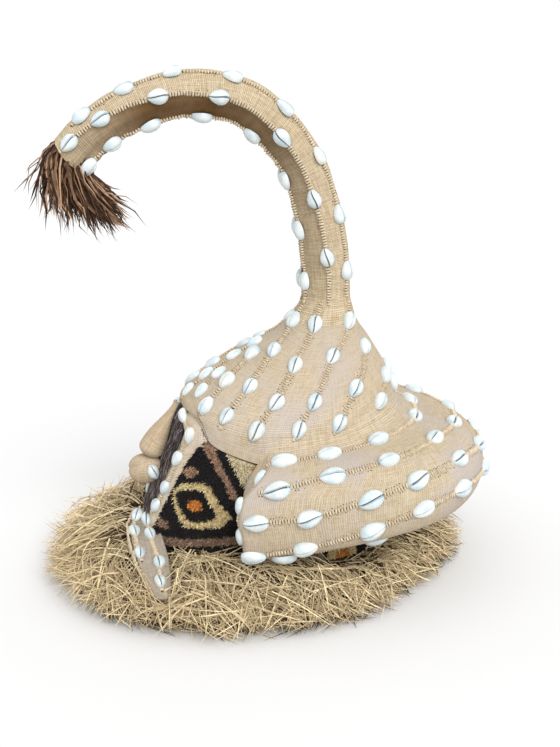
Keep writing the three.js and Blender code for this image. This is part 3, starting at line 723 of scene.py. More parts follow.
@contextmanager
def edit(piece: Piece, mode: str = "VERT") -> Iterator[None]:
    """Opens a piece in edit mode.

    Args:
        piece: the piece to edit.
        mode: which elements were marked and stay selected; ALL selects everything.
    """
    choose(piece)
    bpy.ops.object.mode_set(mode="EDIT")
    bpy.ops.mesh.select_mode(type="VERT" if mode == "ALL" else mode)
    if mode == "ALL":
        bpy.ops.mesh.select_all(action="SELECT")
    yield
    bpy.ops.object.mode_set(mode="OBJECT")


def mark(piece: Piece, kind: str, wanted: Array) -> None:
    """Marks elements of a piece for the next edit.

    Args:
        piece: the piece.
        kind: vertices, edges or polygons.
        wanted: one truth value for each element.
    """
    for part in ("vertices", "edges", "polygons"):
        elements = getattr(piece.data, part)
        chosen = wanted if part == kind else np.zeros(len(elements), bool)
        elements.foreach_set("select", np.asarray(chosen, bool))


def points_of(piece: Piece) -> Array:
    """A piece's points, one row each."""
    places = np.empty(len(piece.data.vertices) * 3, np.float32)
    piece.data.vertices.foreach_get("co", places)
    return places.reshape(-1, 3).astype(float)


def set_points(piece: Piece, places: Array) -> None:
    """Moves a piece's points."""
    piece.data.vertices.foreach_set("co", np.asarray(places, np.float32).ravel())
    piece.data.update()


def apply_modifier(piece: Piece, kind: str, **settings: object) -> None:
    """Adds a modifier to a piece and applies it."""
    choose(piece)
    modifier = piece.modifiers.new(kind.title(), kind)
    for key, value in settings.items():
        setattr(modifier, key, value)
    bpy.ops.object.modifier_apply(modifier=modifier.name)


def settle(piece: Piece, merge: float = 2e-5, recalculate: bool = True) -> None:
    """Merges doubled points and turns the faces outwards."""
    with edit(piece, "ALL"):
        bpy.ops.mesh.remove_doubles(threshold=merge)
        if recalculate:
            bpy.ops.mesh.normals_make_consistent(inside=False)


def turn_over(piece: Piece) -> None:
    """Turns a sheet's faces round."""
    with edit(piece, "ALL"):
        bpy.ops.mesh.flip_normals()


def face_away(piece: Piece, point: Sequence[float]) -> None:
    """Turns a sheet's faces round if most of them look towards a point."""
    looks = sum((f.center - Vector(point)).dot(f.normal) * f.area for f in piece.data.polygons)
    if looks < 0:
        turn_over(piece)


def carry(mesh: bpy.types.Mesh, name: str, values: Array) -> None:
    """Gives each point of a mesh a value, or a colour where each has three.

    Args:
        mesh: the mesh.
        name: what its finish knows the values as.
        values: one value or one colour for each point.
    """
    kind, key = "FLOAT", "value"
    if values.ndim > 1:
        kind, key = "FLOAT_COLOR", "color"
        values = np.hstack([values, np.ones((len(values), 1))])
    mesh.attributes.new(name, kind, "POINT").data.foreach_set(key, values.astype(np.float32).ravel())


def stand(name: str, data: bpy.types.ID) -> Piece:
    """Stands a mesh, a lamp or a camera in the scene."""
    made = bpy.data.objects.new(name, data)
    bpy.context.scene.collection.objects.link(made)
    return made


def laid_grid(name: str, steps: tuple[int, int], place: Place, size: tuple[float, float]) -> Piece:
    """Adds a grid and lays each of its points on a surface.

    Args:
        name: the piece's name.
        steps: squares across and along.
        place: gives points in head axes for shares across and along.
        size: millimetres across and along, for the weave.

    Returns:
        The piece, with its weave map.
    """
    deselect_all()
    bpy.ops.mesh.primitive_grid_add(x_subdivisions=steps[0], y_subdivisions=steps[1], size=1.0)
    piece = take(name)
    shares = points_of(piece)[:, :2] + 0.5
    weave = piece.data.uv_layers[0]
    weave.name = WEAVE_MAP
    spots = np.empty(len(piece.data.loops) * 2, np.float32)
    weave.data.foreach_get("uv", spots)
    weave.data.foreach_set("uv", (spots.reshape(-1, 2) * np.array(size, np.float32)).ravel())
    set_points(piece, to_frame(place(shares[:, 0], shares[:, 1])))
    return piece


def dress(piece: Piece, slot: str, nodes: Sequence[str], *finishes: object, angle: float = 60) -> None:
    """Gives a piece its finishes, says which solids it stands for and fixes it to the body.

    Args:
        piece: the piece.
        slot: not used.
        nodes: the solids it stands for.
        finishes: its finishes, in the order of its material indices.
        angle: edges sharper than this stay sharp, in degrees.
    """
    for finish in finishes:
        piece.data.materials.append(material_of(finish))
    choose(piece)
    bpy.ops.object.shade_smooth_by_angle(angle=math.radians(angle))
    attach(piece, BODY)
    if nodes:
        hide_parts(*nodes)
    stands_for = ", ".join(nodes) or "no solid"
    log.info("%s: %d faces, stands for %s", piece.name, len(piece.data.polygons), stands_for)


@dataclass
class Pattern:
    """One small shape that is modelled once and copied many times."""

    points: Array
    faces: list
    materials: list

    @classmethod
    def of(cls, piece: Piece) -> "Pattern":
        """Takes the shape of a modelled piece and puts the piece away."""
        faces = [tuple(f.vertices) for f in piece.data.polygons]
        materials = [f.material_index for f in piece.data.polygons]
        made = cls(points_of(piece), faces, materials)
        bpy.data.objects.remove(piece)
        return made


@dataclass
class Gathering:
    """Copies of patterns put together as one piece."""

    points: list = field(default_factory=list)
    faces: list = field(default_factory=list)
    materials: list = field(default_factory=list)
    count: int = 0

    def add(self, pattern: Pattern, points: Array) -> None:
        """Adds one copy.

        Args:
            pattern: the shape copied.
            points: its points where this copy has them.
        """
        self.points.append(points)
        self.faces.extend(tuple(i + self.count for i in face) for face in pattern.faces)
        self.materials.extend(pattern.materials)
        self.count += len(points)

    def piece(self, name: str) -> Piece:
        """Makes the piece."""
        mesh = bpy.data.meshes.new(name)
        mesh.from_pydata(np.vstack(self.points).tolist(), [], self.faces)
        mesh.polygons.foreach_set("material_index", np.array(self.materials, np.int32))
        mesh.update()
        return stand(name, mesh)


class Strands:
    """Thin tapering fibres: one blade is modelled and bent along each path."""

    def __init__(self, rings: int, taper: float = 0.75) -> None:
        """Models the blade.

        Args:
            rings: rings of points along the blade, its tip among them.
            taper: share of its thickness left at the last ring before the tip.
        """
        deselect_all()
        bpy.ops.mesh.primitive_cone_add(vertices=3, radius1=1, radius2=taper, depth=1, location=(0, 0, 0.5))
        blade = take("blade")
        for step in range(1, rings - 1):
            with edit(blade, "ALL"):
                bpy.ops.mesh.bisect(plane_co=(0, 0, step / (rings - 1)), plane_no=(0, 0, 1))
        mark(blade, "vertices", points_of(blade)[:, 2] > 0.999)
        with edit(blade):
            bpy.ops.mesh.merge(type="CENTER")
        self.rings = rings
        self.pattern = Pattern.of(blade)

    def piece(self, name: str, paths: Array, width: Array, flat: float, tone: Array, seed: int) -> Piece:
        """Bends a blade along each path.

        Args:
            name: the piece's name.
            paths: points of each path in head axes, as [strand, ring, axis].
            width: half the width of each strand.
            flat: thickness as a share of the width.
            tone: tone of each strand, from 0 to 1.
            seed: start of the random turning of the blades.

        Returns:
            The piece, which carries the tones.
        """
        rng = np.random.default_rng(seed)
        shape = self.pattern.points
        ring = np.rint(shape[:, 2] * (self.rings - 1)).astype(int)
        ahead = unit(np.gradient(paths, axis=1))
        side = unit(np.cross(ahead, rng.normal(size=(len(paths), 1, 3))))
        over = np.cross(ahead, side)
        spots = paths[:, ring]
        spots = spots + side[:, ring] * (shape[None, :, 0] * width[:, None])[..., None]
        spots = spots + over[:, ring] * (shape[None, :, 1] * width[:, None] * flat)[..., None]
        each = len(shape)
        firsts = range(0, len(paths) * each, each)
        faces = [tuple(i + first for i in face) for first in firsts for face in self.pattern.faces]
        mesh = bpy.data.meshes.new(name)
        mesh.from_pydata(to_frame(spots).reshape(-1, 3).tolist(), [], faces)
        carry(mesh, TONE, np.repeat(tone, each))
        return stand(name, mesh)


class Skin:
    """A finished cloth surface that other things are sewn on."""

    def __init__(self, *pieces: Piece) -> None:
        """Reads the pieces' surfaces."""
        points, faces = [], []
        for piece in pieces:
            first = len(points)
            points += [v.co.copy() for v in piece.data.vertices]
            faces += [tuple(i + first for i in f.vertices) for f in piece.data.polygons]
        self.tree = BVHTree.FromPolygons(points, faces)

    def nearest(self, points: Array) -> tuple[Array, Array]:
        """Nearest points on the surface and its outward directions there.

        Args:
            points: points in the model's frame.

        Returns:
            The points on the surface and the directions.
        """
        found = [self.tree.find_nearest(Vector(p)) for p in points]
        return np.array([f[0] for f in found]), np.array([f[1] for f in found])


# Rows of shells


@dataclass(frozen=True)
class ShellSize:
    """Half length, half width and rise of a cowrie shell."""

    half: float
    width: float
    rise: float


SHELL = ShellSize(10.5, 7.6, 6.6)
BIG_SHELL = ShellSize(13.0, 8.8, 7.4)
SMALL_SHELL = ShellSize(9.0, 6.4, 5.6)
FRONT_SHELL = ShellSize(9.6, 6.8, 5.0)


@dataclass
class RowMaker:
    """Sews rows of cowries and the stitched cord between them."""

    knot_pitch: float = 2.8
    knot_half: float = 2.6
    knot_rise: float = 1.9
    hole_away: float = 4.0
    hole_half: float = 0.6
    lip: float = 0.16
    samples: int = 500
    slit_depth: float = 0.34

    def __post_init__(self) -> None:
        """Models the shell, the knot and the needle hole."""
        self.cowrie = self.model_cowrie()
        self.knot = self.model_knot()
        self.hole = self.model_hole()
        self.rng = np.random.default_rng(11)

    def model_cowrie(self) -> Pattern:
        """Models one cowrie, its slit upwards, one unit to each side.

        Returns:
            The shell, with material 0 on its body and 1, painted shade, in its slit.
        """
        deselect_all()
        upright = (0, math.pi / 2, 0)
        bpy.ops.mesh.primitive_uv_sphere_add(segments=16, ring_count=10, radius=1, rotation=upright)
        shell = take("cowrie")
        spots = points_of(shell)
        middle = (np.abs(spots[:, 1]) < 1e-3) & (spots[:, 2] > 0) & (np.abs(spots[:, 0]) < 0.97)
        ends = np.array([e.vertices[:] for e in shell.data.edges])
        mark(shell, "edges", middle[ends].all(1))
        with edit(shell, "EDGE"):
            bpy.ops.mesh.bevel(offset=self.lip, segments=1, affect="EDGES")
        centres = np.array([f.center[:] for f in shell.data.polygons])
        strip = (np.abs(centres[:, 1]) < 0.03) & (centres[:, 2] > 0.1)
        mark(shell, "polygons", strip)
        with edit(shell, "FACE"):
            bpy.ops.mesh.inset(thickness=0.03)
            bpy.ops.transform.translate(value=(0, 0, -self.slit_depth))
            bpy.ops.transform.resize(value=(0.94, 0.35, 1.0), center_override=(0, 0, 0))
        with edit(shell, "ALL"):
            bpy.ops.mesh.bisect(plane_co=(0, 0, -0.12), plane_no=(0, 0, 1), clear_inner=True, use_fill=True)
        centres = np.array([f.center[:] for f in shell.data.polygons])
        # Painted shade: the slit's faces take the near-black finish.
        dark = (np.abs(centres[:, 1]) < 0.085) & (centres[:, 2] > 0.1) & (np.abs(centres[:, 0]) < 0.9)
        shell.data.polygons.foreach_set("material_index", dark.astype(np.int32))
        spots = points_of(shell)
        x, y, z = spots.T
        outline = (1 - 0.2 * x) * (1 - 0.14 * np.abs(x) ** 2.2)
        bow = 0.10 * np.sin(x * 2.4) * (z > 0.05)
        flatten = np.where(z > 0, np.sign(z) * np.abs(z) ** 0.85 * (1 - 0.12 * x), z)
        set_points(shell, np.stack([x, y * outline + bow * (1 - np.abs(y)), flatten], -1))
        return Pattern.of(shell)

    def model_knot(self) -> Pattern:
        """Models one stitch: a small roll laid across the cord, pinched in its middle."""
        deselect_all()
        bpy.ops.mesh.primitive_uv_sphere_add(segments=6, ring_count=6, radius=1, rotation=(math.pi / 2, 0, 0))
        knot = take("knot")
        spots = points_of(knot)
        pinch = 0.72 + 0.28 * np.minimum(1, np.abs(spots[:, 1]) / 0.45)
        full = np.clip(1.25 - 0.25 * np.abs(spots[:, 1]), 0, 1.25)
        spots[:, 0] *= pinch * full
        spots[:, 2] *= pinch * full
        set_points(knot, spots)
        made = Pattern.of(knot)
        made.materials = [2] * len(made.faces)
        return made

    def model_hole(self) -> Pattern:
        """Models one needle hole: a small dark dimple, also laid as painted shade between stitches."""
        deselect_all()
        bpy.ops.mesh.primitive_cone_add(vertices=5, radius1=1, radius2=0.5, depth=0.3, end_fill_type="NGON")
        made = Pattern.of(take("hole"))
        made.materials = [3] * len(made.faces)
        return made

    def sew(
        self, name: str, line: Line, shells: Sequence[float], size: ShellSize, skin: Skin,
        lead: tuple = (0.0, 0.0), holes: tuple = (0.8, 0.5),
    ) -> None:
        """Sews one row.

        Args:
            name: the row's name, which is also its solid's.
            line: gives points in head axes for shares along the row.
            shells: where the shells sit.
            size: the shells' size.
            skin: the cloth that they are sewn on.
            lead: millimetres of cord before the first shell and after the last.
            holes: how often a needle hole shows on each side of a stitch.
        """
        pad = 0.5 if len(shells) == 1 else 0.12
        shares = np.linspace(min(shells) - pad, max(shells) + pad, self.samples)
        points, normals = skin.nearest(to_frame(line(shares)))
        for _ in range(3):
            normals = unit(np.vstack([normals[:1], normals[:-2] + normals[1:-1] + normals[2:], normals[-1:]]))
        reach = distances(points) / MM
        stops = np.interp(shells, shares, reach)
        whole = Gathering()
        for stop in stops:
            swell = 1 + self.rng.normal(0, 0.035)
            flip = -1.0 if self.rng.random() < 0.2 else 1.0
            scale = np.array([size.half * flip, size.width * flip, size.rise]) * swell
            twist = self.rng.normal(0, 0.09)
            self.lay(whole, self.cowrie, scale, (reach, points, normals), stop, twist=twist, lift=0.25)
        runs = [(stops[0] - size.half - lead[0], stops[0] - size.half, lead[0] > 0)]
        runs += [(a + size.half, b - size.half, True) for a, b in zip(stops, stops[1:])]
        runs += [(stops[-1] + size.half, stops[-1] + size.half + lead[1], lead[1] > 0)]
        for start, end, wanted in runs:
            if not wanted or end - start < self.knot_pitch * 0.8:
                continue
            count = max(1, round((end - start) / self.knot_pitch))
            for k in range(count):
                at = start + (end - start) * (k + 0.5) / count
                self.stitch(whole, (reach, points, normals), at, (end - start) / count, holes)
        row = whole.piece(name)
        settle(row, 1e-7, False)
        dress(row, "cowrie_and_cord", [name], SHELL_WHITE, SLIT_SHADE, KNOTS, HOLES_AND_GAP_SHADE, angle=50)

    def stitch(self, whole: Gathering, track: tuple, at: float, pitch: float, holes: tuple) -> None:
        """Lays one stitch, a dark pad of painted shade in the gap before the next one and, beside most of
        them, its needle holes.
        """
        wobble = self.rng.normal(0, 1, 4)
        half = self.knot_half * (1 + 0.10 * wobble[0])
        scale = np.array([pitch * 0.46, half, self.knot_rise * (1 + 0.08 * wobble[1])])
        self.lay(whole, self.knot, scale, track, at, 0.2 * wobble[2], 0.09 * wobble[3], 0.5)
        # Painted shade: a dark pad in the gap between this stitch and the next.
        gap = np.array([pitch * 0.45, half * 0.8, 1.6])
        self.lay(whole, self.hole, gap, track, at + pitch / 2, 0.2 * wobble[2], 0.0, 0.02)
        for side in (1, -1):
            if self.rng.random() < holes[side < 0]:
                hole = self.hole_half * self.rng.uniform(0.7, 1.25)
                away = side * (self.hole_away + self.rng.normal(0, 0.35))
                self.lay(whole, self.hole, np.array([hole, hole, 0.6]), track, at, away, 0.0, 0.02)

    def lay(
        self, whole: Gathering, pattern: Pattern, scale: Array, track: tuple, at: float,
        across: float = 0.0, twist: float = 0.0, lift: float = 0.0,
    ) -> None:
        """Lays one copy of a pattern on the row's track.

        Args:
            whole: the row so far.
            pattern: the shape to copy.
            scale: its half sizes in millimetres.
            track: distances along the row, points and directions.
            at: distance along the row.
            across: distance to the side.
            twist: turn on the cloth, in radians.
            lift: height above the cloth.
        """
        reach, points, normals = track
        spot, normal = read(at, reach, points), unit(read(at, reach, normals))
        ahead = read(at + 2, reach, points) - read(at - 2, reach, points)
        side = unit(np.cross(normal, ahead))
        ahead = np.cross(side, normal)
        run = ahead * math.cos(twist) + side * math.sin(twist)
        wide = np.cross(normal, run)
        local = pattern.points * scale * MM
        spot = spot + side * across * MM + normal * lift * MM
        whole.add(pattern, spot + local @ np.stack([run, wide, normal]))


# The mask's parts


@dataclass
class ConicalHat:
    """Conical hat of raffia cloth with its skirt, hem and eight pairs of shell rows."""

    rows: RowMaker
    wall: float = 2.2
    hem: float = 1.6
    front_row: tuple = ((0, 0.4), (0, 0.57), (0, 0.8), (0, 0.95))
    side_rows: tuple = (
        ((11, 0.73), (14, 0.89)),
        ((16, 0.47), (26, 0.74), (28, 0.94)),
        ((17, 0.1), (36, 0.37), (46, 0.7), (46, 0.94)),
        ((62, 0.09), (68, 0.45), (70, 0.78), (66, 0.97)),
        ((127, 0.09), (97, 0.37), (90, 0.78), (86, 0.96)),
        ((142, 0.42), (116, 0.75), (104, 0.96)),
        ((151, 0.84), (135, 0.96)),
        ((168, 0.86), (162, 0.97)),
    )
    joined_to_trunk: tuple = (3, 4, 5)
    spread_turn: tuple = (1.2, 1.36)
    cone_share: float = 0.86

    def place(self, around: Array, down: Array) -> Array:
        """Point of the hat's cloth: cone for most of the way down, then the skirt."""
        turn = around * TURN
        out = np.clip(down / self.cone_share, 0, 1)
        cone = HAT.surface(turn, out)
        cone += self.sag(turn, out)[:, None] * unit(cone - np.array([0.0, 0.0, 120.0]))
        low = np.clip((down - self.cone_share) / (1 - self.cone_share), 0, 1)
        height = mix(HAT.brim(turn) - 2.0, HAT.skirt(turn), low)
        skirt = HELMET.wall(turn, height, HELMET.layer + 0.5 * np.sin(turn * 9) * low)
        spread = smooth(np.arccos(np.cos(turn)), *self.spread_turn)[:, None]
        skirt = mix(skirt, self.spread(turn, low), spread)
        return np.where((down > self.cone_share)[:, None], skirt, cone)

    def spread(self, turn: Array, low: Array) -> Array:
        """Point of the cloth that runs on from the brim over the roll, as far as the roll's first row."""
        share = np.mod(turn - ROLL.front_turn, TURN) / (TURN - 2 * ROLL.front_turn)
        place = along(FIRST_ROW, np.minimum(share, 1 - share))
        seam = ROLL.surface(np.clip(share, 0, 1), place)
        seam[:, 2] += mix(0.5, -1.8, smooth(low, 0.86, 1))
        brim = HAT.surface(turn, np.full_like(turn, 0.965))
        bend = np.stack([*mix(brim, seam, 0.3)[:, :2].T, seam[:, 2] + 2.0], -1)
        s = np.minimum(low / 0.9, 1)[:, None]
        curve = brim * (1 - s) ** 2 + bend * 2 * s * (1 - s) + seam * s**2
        past = (np.maximum(low - 0.9, 0) * 50)[:, None]
        return curve + past * unit((seam - brim) * np.array([1.0, 1.0, 0.0]))

    def sag(self, turn: Array, out: Array) -> Array:
        """Slight give of the cloth between the rows of stitching."""
        ease = np.sin(np.pi * np.clip(out, 0, 1)) ** 0.7
        return ease * (0.7 * np.sin(turn * 8 + 6 * out) + 0.5 * np.sin(turn * 3 - 9 * out + 1.3))

    def build(self) -> Piece:
        """Makes the hat's cloth."""
        cloth = laid_grid("crown", (128, 70), self.place, (560, 190))
        settle(cloth)
        face_away(cloth, to_frame((0, 0, 150)))
        apply_modifier(cloth, "SMOOTH", factor=0.5, iterations=6)
        apply_modifier(cloth, "SOLIDIFY", thickness=self.wall * MM, offset=-1)
        dress(cloth, "raffia_cloth", ["crown"], CLOTH)
        return cloth

    def sew(self, skin: Skin) -> None:
        """Sews the hat's rows and hem stitches."""
        self.sew_row("crown_row_front", self.front_row, 1, skin, 0, FRONT_SHELL)
        for index, row in enumerate(self.side_rows, 1):
            for side in Side:
                name = f"crown_row_{side.name.lower()}_{index}"
                lead = 16.0 if index in self.joined_to_trunk else 0.0
                front = index == 1 or (side is Side.RIGHT and index < 4)
                self.sew_row(name, row, side.value, skin, lead, FRONT_SHELL if front else SHELL)
        self.sew_hem(skin)

    def sew_row(self, name: str, row: tuple, side: int, skin: Skin, lead: float, size: ShellSize) -> None:
        """Sews one row of the hat."""
        stops = [i / (len(row) - 1) for i in range(len(row))]
        line = partial(self.on_row, row, side)
        self.rows.sew(name, line, stops, size, skin, (lead, self.rows.knot_pitch * 1.5))

    def on_row(self, row: tuple, side: int, share: Array) -> Array:
        """Point of a row, which runs straight on for one step past each end."""
        table = np.array(row, float)
        table = np.vstack([2 * table[0] - table[1], table, 2 * table[-1] - table[-2]])
        degrees, out = path_at(table, (share * (len(row) - 1) + 1) / (len(row) + 1)).T
        return HAT.surface(side * np.radians(degrees), np.clip(out, -0.02, 1.0))

    def sew_hem(self, skin: Skin) -> None:
        """Sews the brown running stitch along the skirt's front edges."""
        whole = Gathering()
        for side in Side:
            turns = side.value * np.radians(np.linspace(25, 40, 16))
            line = HELMET.wall(turns, HAT.skirt(turns) + 3.0, HELMET.layer + 1)
            points, normals = skin.nearest(to_frame(line))
            reach = np.arange(len(points)) * 2.4
            for at in reach[1:-1]:
                scale = np.array([0.75, 0.5, 0.35])
                self.rows.lay(whole, self.rows.knot, scale, (reach, points, normals), at, 0, 0.5, 0.05)
        hem = whole.piece("crown_hem_stitches")
        dress(hem, "raffia_cloth", [], HOLES_AND_GAP_SHADE, HOLES_AND_GAP_SHADE, HOLES_AND_GAP_SHADE)


@dataclass
class Trunk:
    """Stuffed trunk with its six rows of shells and the brush of dark raffia in its tip."""

    rows: RowMaker
    squares: tuple = (72, 190)
    weave: tuple = (150, 560)
    sleeve: float = 0.035
    turned_in: float = 0.97
    joint: tuple = (284.0, 20.0)
    fibres: int = 700
    brush_radius: float = 19.5
    brush_length: tuple = (66, 11)
    sleeve_out: float = 0.1
    axis_y: float = 45.5
    # Share of painted shade along the trunk, given to its underside.
    darkened: tuple = ((0, 0), (0.08, 0.22), (0.33, 0.42), (0.48, 1), (0.8, 0.98), (0.9, 0.6), (1, 0.3))
    lumps: float = 0.55
    flattened: float = 2.8
    farthest: float = -261.0
    tip_bulge: float = 8.0
    angles: dict = field(
        default_factory=lambda: {
            "left_outer": ((0, 52), (0.35, 50), (0.6, 38), (0.72, 28), (0.83, 32), (1, 34)),
            "left_side": ((0, 100), (0.27, 104), (0.44, 102), (0.62, 94), (0.77, 80), (0.9, 70), (1, 58)),
            "left_inner": ((0, 167), (0.33, 167), (0.5, 164), (0.66, 156), (0.8, 147), (1, 136)),
            "right_outer": ((0, -52), (0.6, -45), (1, -52)),
            "right_side": ((0, -104), (0.6, -100), (1, -112)),
            "right_inner": ((0, -156), (0.3, -146), (0.6, -146), (0.8, -146), (1, -136)),
        }
    )
    shells: dict = field(
        default_factory=lambda: {
            "left_outer": (0.08, 0.215, 0.355, 0.48, 0.6, 0.72, 0.825, 0.925),
            "left_side": (0.12, 0.27, 0.44, 0.625, 0.765, 0.9, 0.97),
            "left_inner": (0.055, 0.195, 0.335, 0.495, 0.66, 0.8, 0.91, 0.985),
            "right_outer": (0.08, 0.21, 0.35, 0.48, 0.61, 0.73, 0.85, 0.95),
            "right_side": (0.12, 0.27, 0.43, 0.6, 0.77, 0.92),
            "right_inner": (0.055, 0.2, 0.34, 0.5, 0.66, 0.8, 0.91),
        }
    )

    def relief(self, share: Array, angle: Array) -> Array:
        """Height of the cloth above the even tube: seams drawn up at the rows, stuffing between."""
        ridge = np.zeros_like(share)
        for pairs in self.angles.values():
            gap = np.degrees(angle) - along(pairs, share)
            gap = (gap + 180) % 360 - 180
            ridge += np.exp(-((gap / 7.0) ** 2))
        lump = np.sin(share * 61 + 2 * np.sin(angle)) + np.sin(share * 37 + angle * 3 + 1.0)
        under = smooth(np.abs(np.mod(np.degrees(angle) + 180, 360) - 180), 98, 124) * smooth(share, 0.12, 0.4)
        crease = np.sin(share * 240 + 2.5 * np.cos(angle)) + np.sin(share * 163 + 4 * np.sin(angle))
        return 1.1 * ridge - 0.5 + self.lumps * lump * 0.5 + (0.35 * crease - self.flattened) * under

    def place(self, around: Array, down: Array) -> Array:
        """Point of the trunk's cloth: a sleeve laid on the hat, the tube, and its tip turned in."""
        angle = around * TURN
        share = np.clip((down - self.sleeve) / (self.turned_in - self.sleeve), 0, 1)
        inside = np.clip((down - self.turned_in) / (1 - self.turned_in), 0, 1)
        share = share - 0.02 * inside
        tube = TRUNK.surface(share, angle, self.relief(share, angle) - 4.0 * smooth(inside, 0, 0.6))
        tube += self.bulge(share, angle)
        low = np.clip(1 - down / self.sleeve, 0, 1)
        foot = HAT.surface(math.pi - angle, low * self.sleeve_out)
        foot += (0.8 - 0.65 * low)[:, None] * unit(foot - np.array([0.0, self.axis_y, 230.0]))
        return np.where((down < self.sleeve)[:, None], foot, tube)

    def bulge(self, share: Array, angle: Array) -> Array:
        """Shift of the cloth at the tip, where the sides run on further than the top and underside."""
        run = TRUNK.centres()[1][-1]
        return (self.tip_bulge * smooth(share, 0.9, 1) * np.abs(np.sin(angle)) ** 1.5)[:, None] * run

    def build(self) -> Piece:
        """Makes the trunk's cloth, filled with stuffing, and the brush in its tip."""
        cloth = laid_grid("trunk", self.squares, self.place, self.weave)
        settle(cloth)
        mark(cloth, "edges", self.open_edges(cloth))
        with edit(cloth, "EDGE"):
            bpy.ops.mesh.edge_face_add()
        spots = points_of(cloth) / MM - HEAD_AXIS
        joint = cloth.vertex_groups.new(name="joint")
        middle, reach = self.joint
        for index, height in enumerate(spots[:, 2]):
            near = float(np.clip(1 - abs(height - middle) / reach, 0, 1))
            if spots[index, 1] > 0 and near > 0:
                joint.add([index], near, "REPLACE")
        apply_modifier(cloth, "SMOOTH", factor=0.5, iterations=26, vertex_group="joint")
        with edit(cloth, "ALL"):
            bpy.ops.mesh.normals_make_consistent(inside=False)
        # Painted shade: the cloth past the side rows, on the trunk's underside, carries a tone that darkens
        # it.
        share, angle = self.coordinates(points_of(cloth) / MM - HEAD_AXIS)
        turned = np.degrees(angle)
        left = (turned > 0) * smooth(turned - along(self.angles["left_side"], share), -2, 6)
        right = (turned < 0) * smooth(along(self.angles["right_side"], share) - turned, -2, 6)
        carry(cloth.data, TONE, np.maximum(left, right) * along(self.darkened, share))
        dress(cloth, "raffia_cloth", ["trunk"], TRUNK_CLOTH)
        self.brush()
        return cloth

    def coordinates(self, spots: Array) -> tuple[Array, Array]:
        """Share of the length and angle round the tube of points on it."""
        points, ahead = TRUNK.centres(160)
        nearest = np.linalg.norm(spots[:, None] - points[None], axis=2).argmin(1)
        gap, run = spots - points[nearest], ahead[nearest]
        outer = gap[:, 1] * run[:, 2] - gap[:, 2] * run[:, 1]
        return nearest / (len(points) - 1), np.arctan2(gap[:, 0], outer)

    def sew(self, skin: Skin) -> None:
        """Sews the trunk's rows."""
        for name, pairs in self.angles.items():
            line, shells = partial(self.on_row, pairs), self.shells[name]
            lead = 40.0 if name.endswith("side") else 18.0
            self.rows.sew("trunk_row_" + name, line, shells, SHELL, skin, (lead, 2.8), (0.08, 0.05))

    def open_edges(self, cloth: Piece) -> Array:
        """Truth for each edge that only one face uses, at the far end of the tube."""
        uses: dict = {}
        for face in cloth.data.polygons:
            for key in face.edge_keys:
                uses[key] = uses.get(key, 0) + 1
        spots = points_of(cloth)
        far = spots[:, 1] < spots[:, 1].min() + 0.06
        return np.array([uses[e.key] == 1 and far[list(e.vertices)].all() for e in cloth.data.edges])

    def on_row(self, pairs: tuple, share: Array) -> Array:
        """Point of a row on the trunk, by the row's angles and its share of the trunk."""
        inside = np.clip(share, 0.0, 0.995)
        angle = np.radians(along(pairs, inside))
        return TRUNK.surface(inside, angle, 1.0) + self.bulge(inside, angle)

    def brush(self) -> None:
        """Makes the brush: coarse fibres that leave the tip and hang in a spreading bunch."""
        rng = np.random.default_rng(5)
        count, rings = self.fibres, 6
        points, ahead = TRUNK.centres()
        tip, run = points[-1], ahead[-1]
        across = np.array([0.0, run[2], -run[1]])
        side = np.array([1.0, 0.0, 0.0])
        hang = unit(np.array([0.0, 0.36, -1.0]))
        out = np.sqrt(rng.random(count))
        radius = self.brush_radius * out
        angle = rng.random(count) * TURN
        root = tip + np.outer(radius * np.cos(angle), across) + np.outer(radius * np.sin(angle), side)
        root = root - run * rng.uniform(2, 12, count)[:, None]
        length = rng.normal(*self.brush_length, count).clip(30, 86)
        stray = rng.random(count) < 0.06
        spread = np.where(stray, rng.uniform(0.5, 1.0, count), rng.normal(0.24, 0.13, count))
        away = unit(np.outer(np.cos(angle), across) + np.outer(np.sin(angle), side))
        aim = unit(hang + spread[:, None] * away)
        outward = np.cos(angle) * out
        aim[:, 1] -= np.where(outward > 0, 0.2, 0.4) * outward
        aim = unit(aim + rng.normal(0, 0.13, (count, 3)))
        shares = np.linspace(0, 1, rings)
        bend = smooth(shares, 0, 0.55)[:, None]
        first = 1.3 * run + 2.2 * np.maximum(outward, 0)[:, None] * np.array([0.0, -1.0, -0.1])
        heading = unit(first[:, None] * (1 - bend) + aim[:, None] * (0.25 + bend))
        steps = heading * (length / (rings - 1))[:, None, None]
        steps[:, 0] = 0
        paths = root[:, None] + np.cumsum(steps, axis=1)
        kink = rng.normal(0, 2.3, (count, rings, 3)) * shares[None, :, None]
        # Painted light: fibres from the outside of the tip are more often light than those from its middle.
        bright = rng.random(count) < 0.1 + 0.3 * out**2
        tone = np.where(bright, rng.uniform(0.55, 1, count), rng.uniform(0, 0.36, count))
        width = rng.uniform(0.7, 1.75, count)
        paths += kink
        limit = self.farthest - HEAD_AXIS[1] + rng.uniform(0, 2, (count, 1))
        paths[..., 1] = np.maximum(paths[..., 1], limit)
        brush = Strands(rings).piece("trunk_tuft", paths, width, 0.45, tone, 6)
        dress(brush, "dark_raffia", ["trunk_tuft"], DARK_RAFFIA, angle=70)


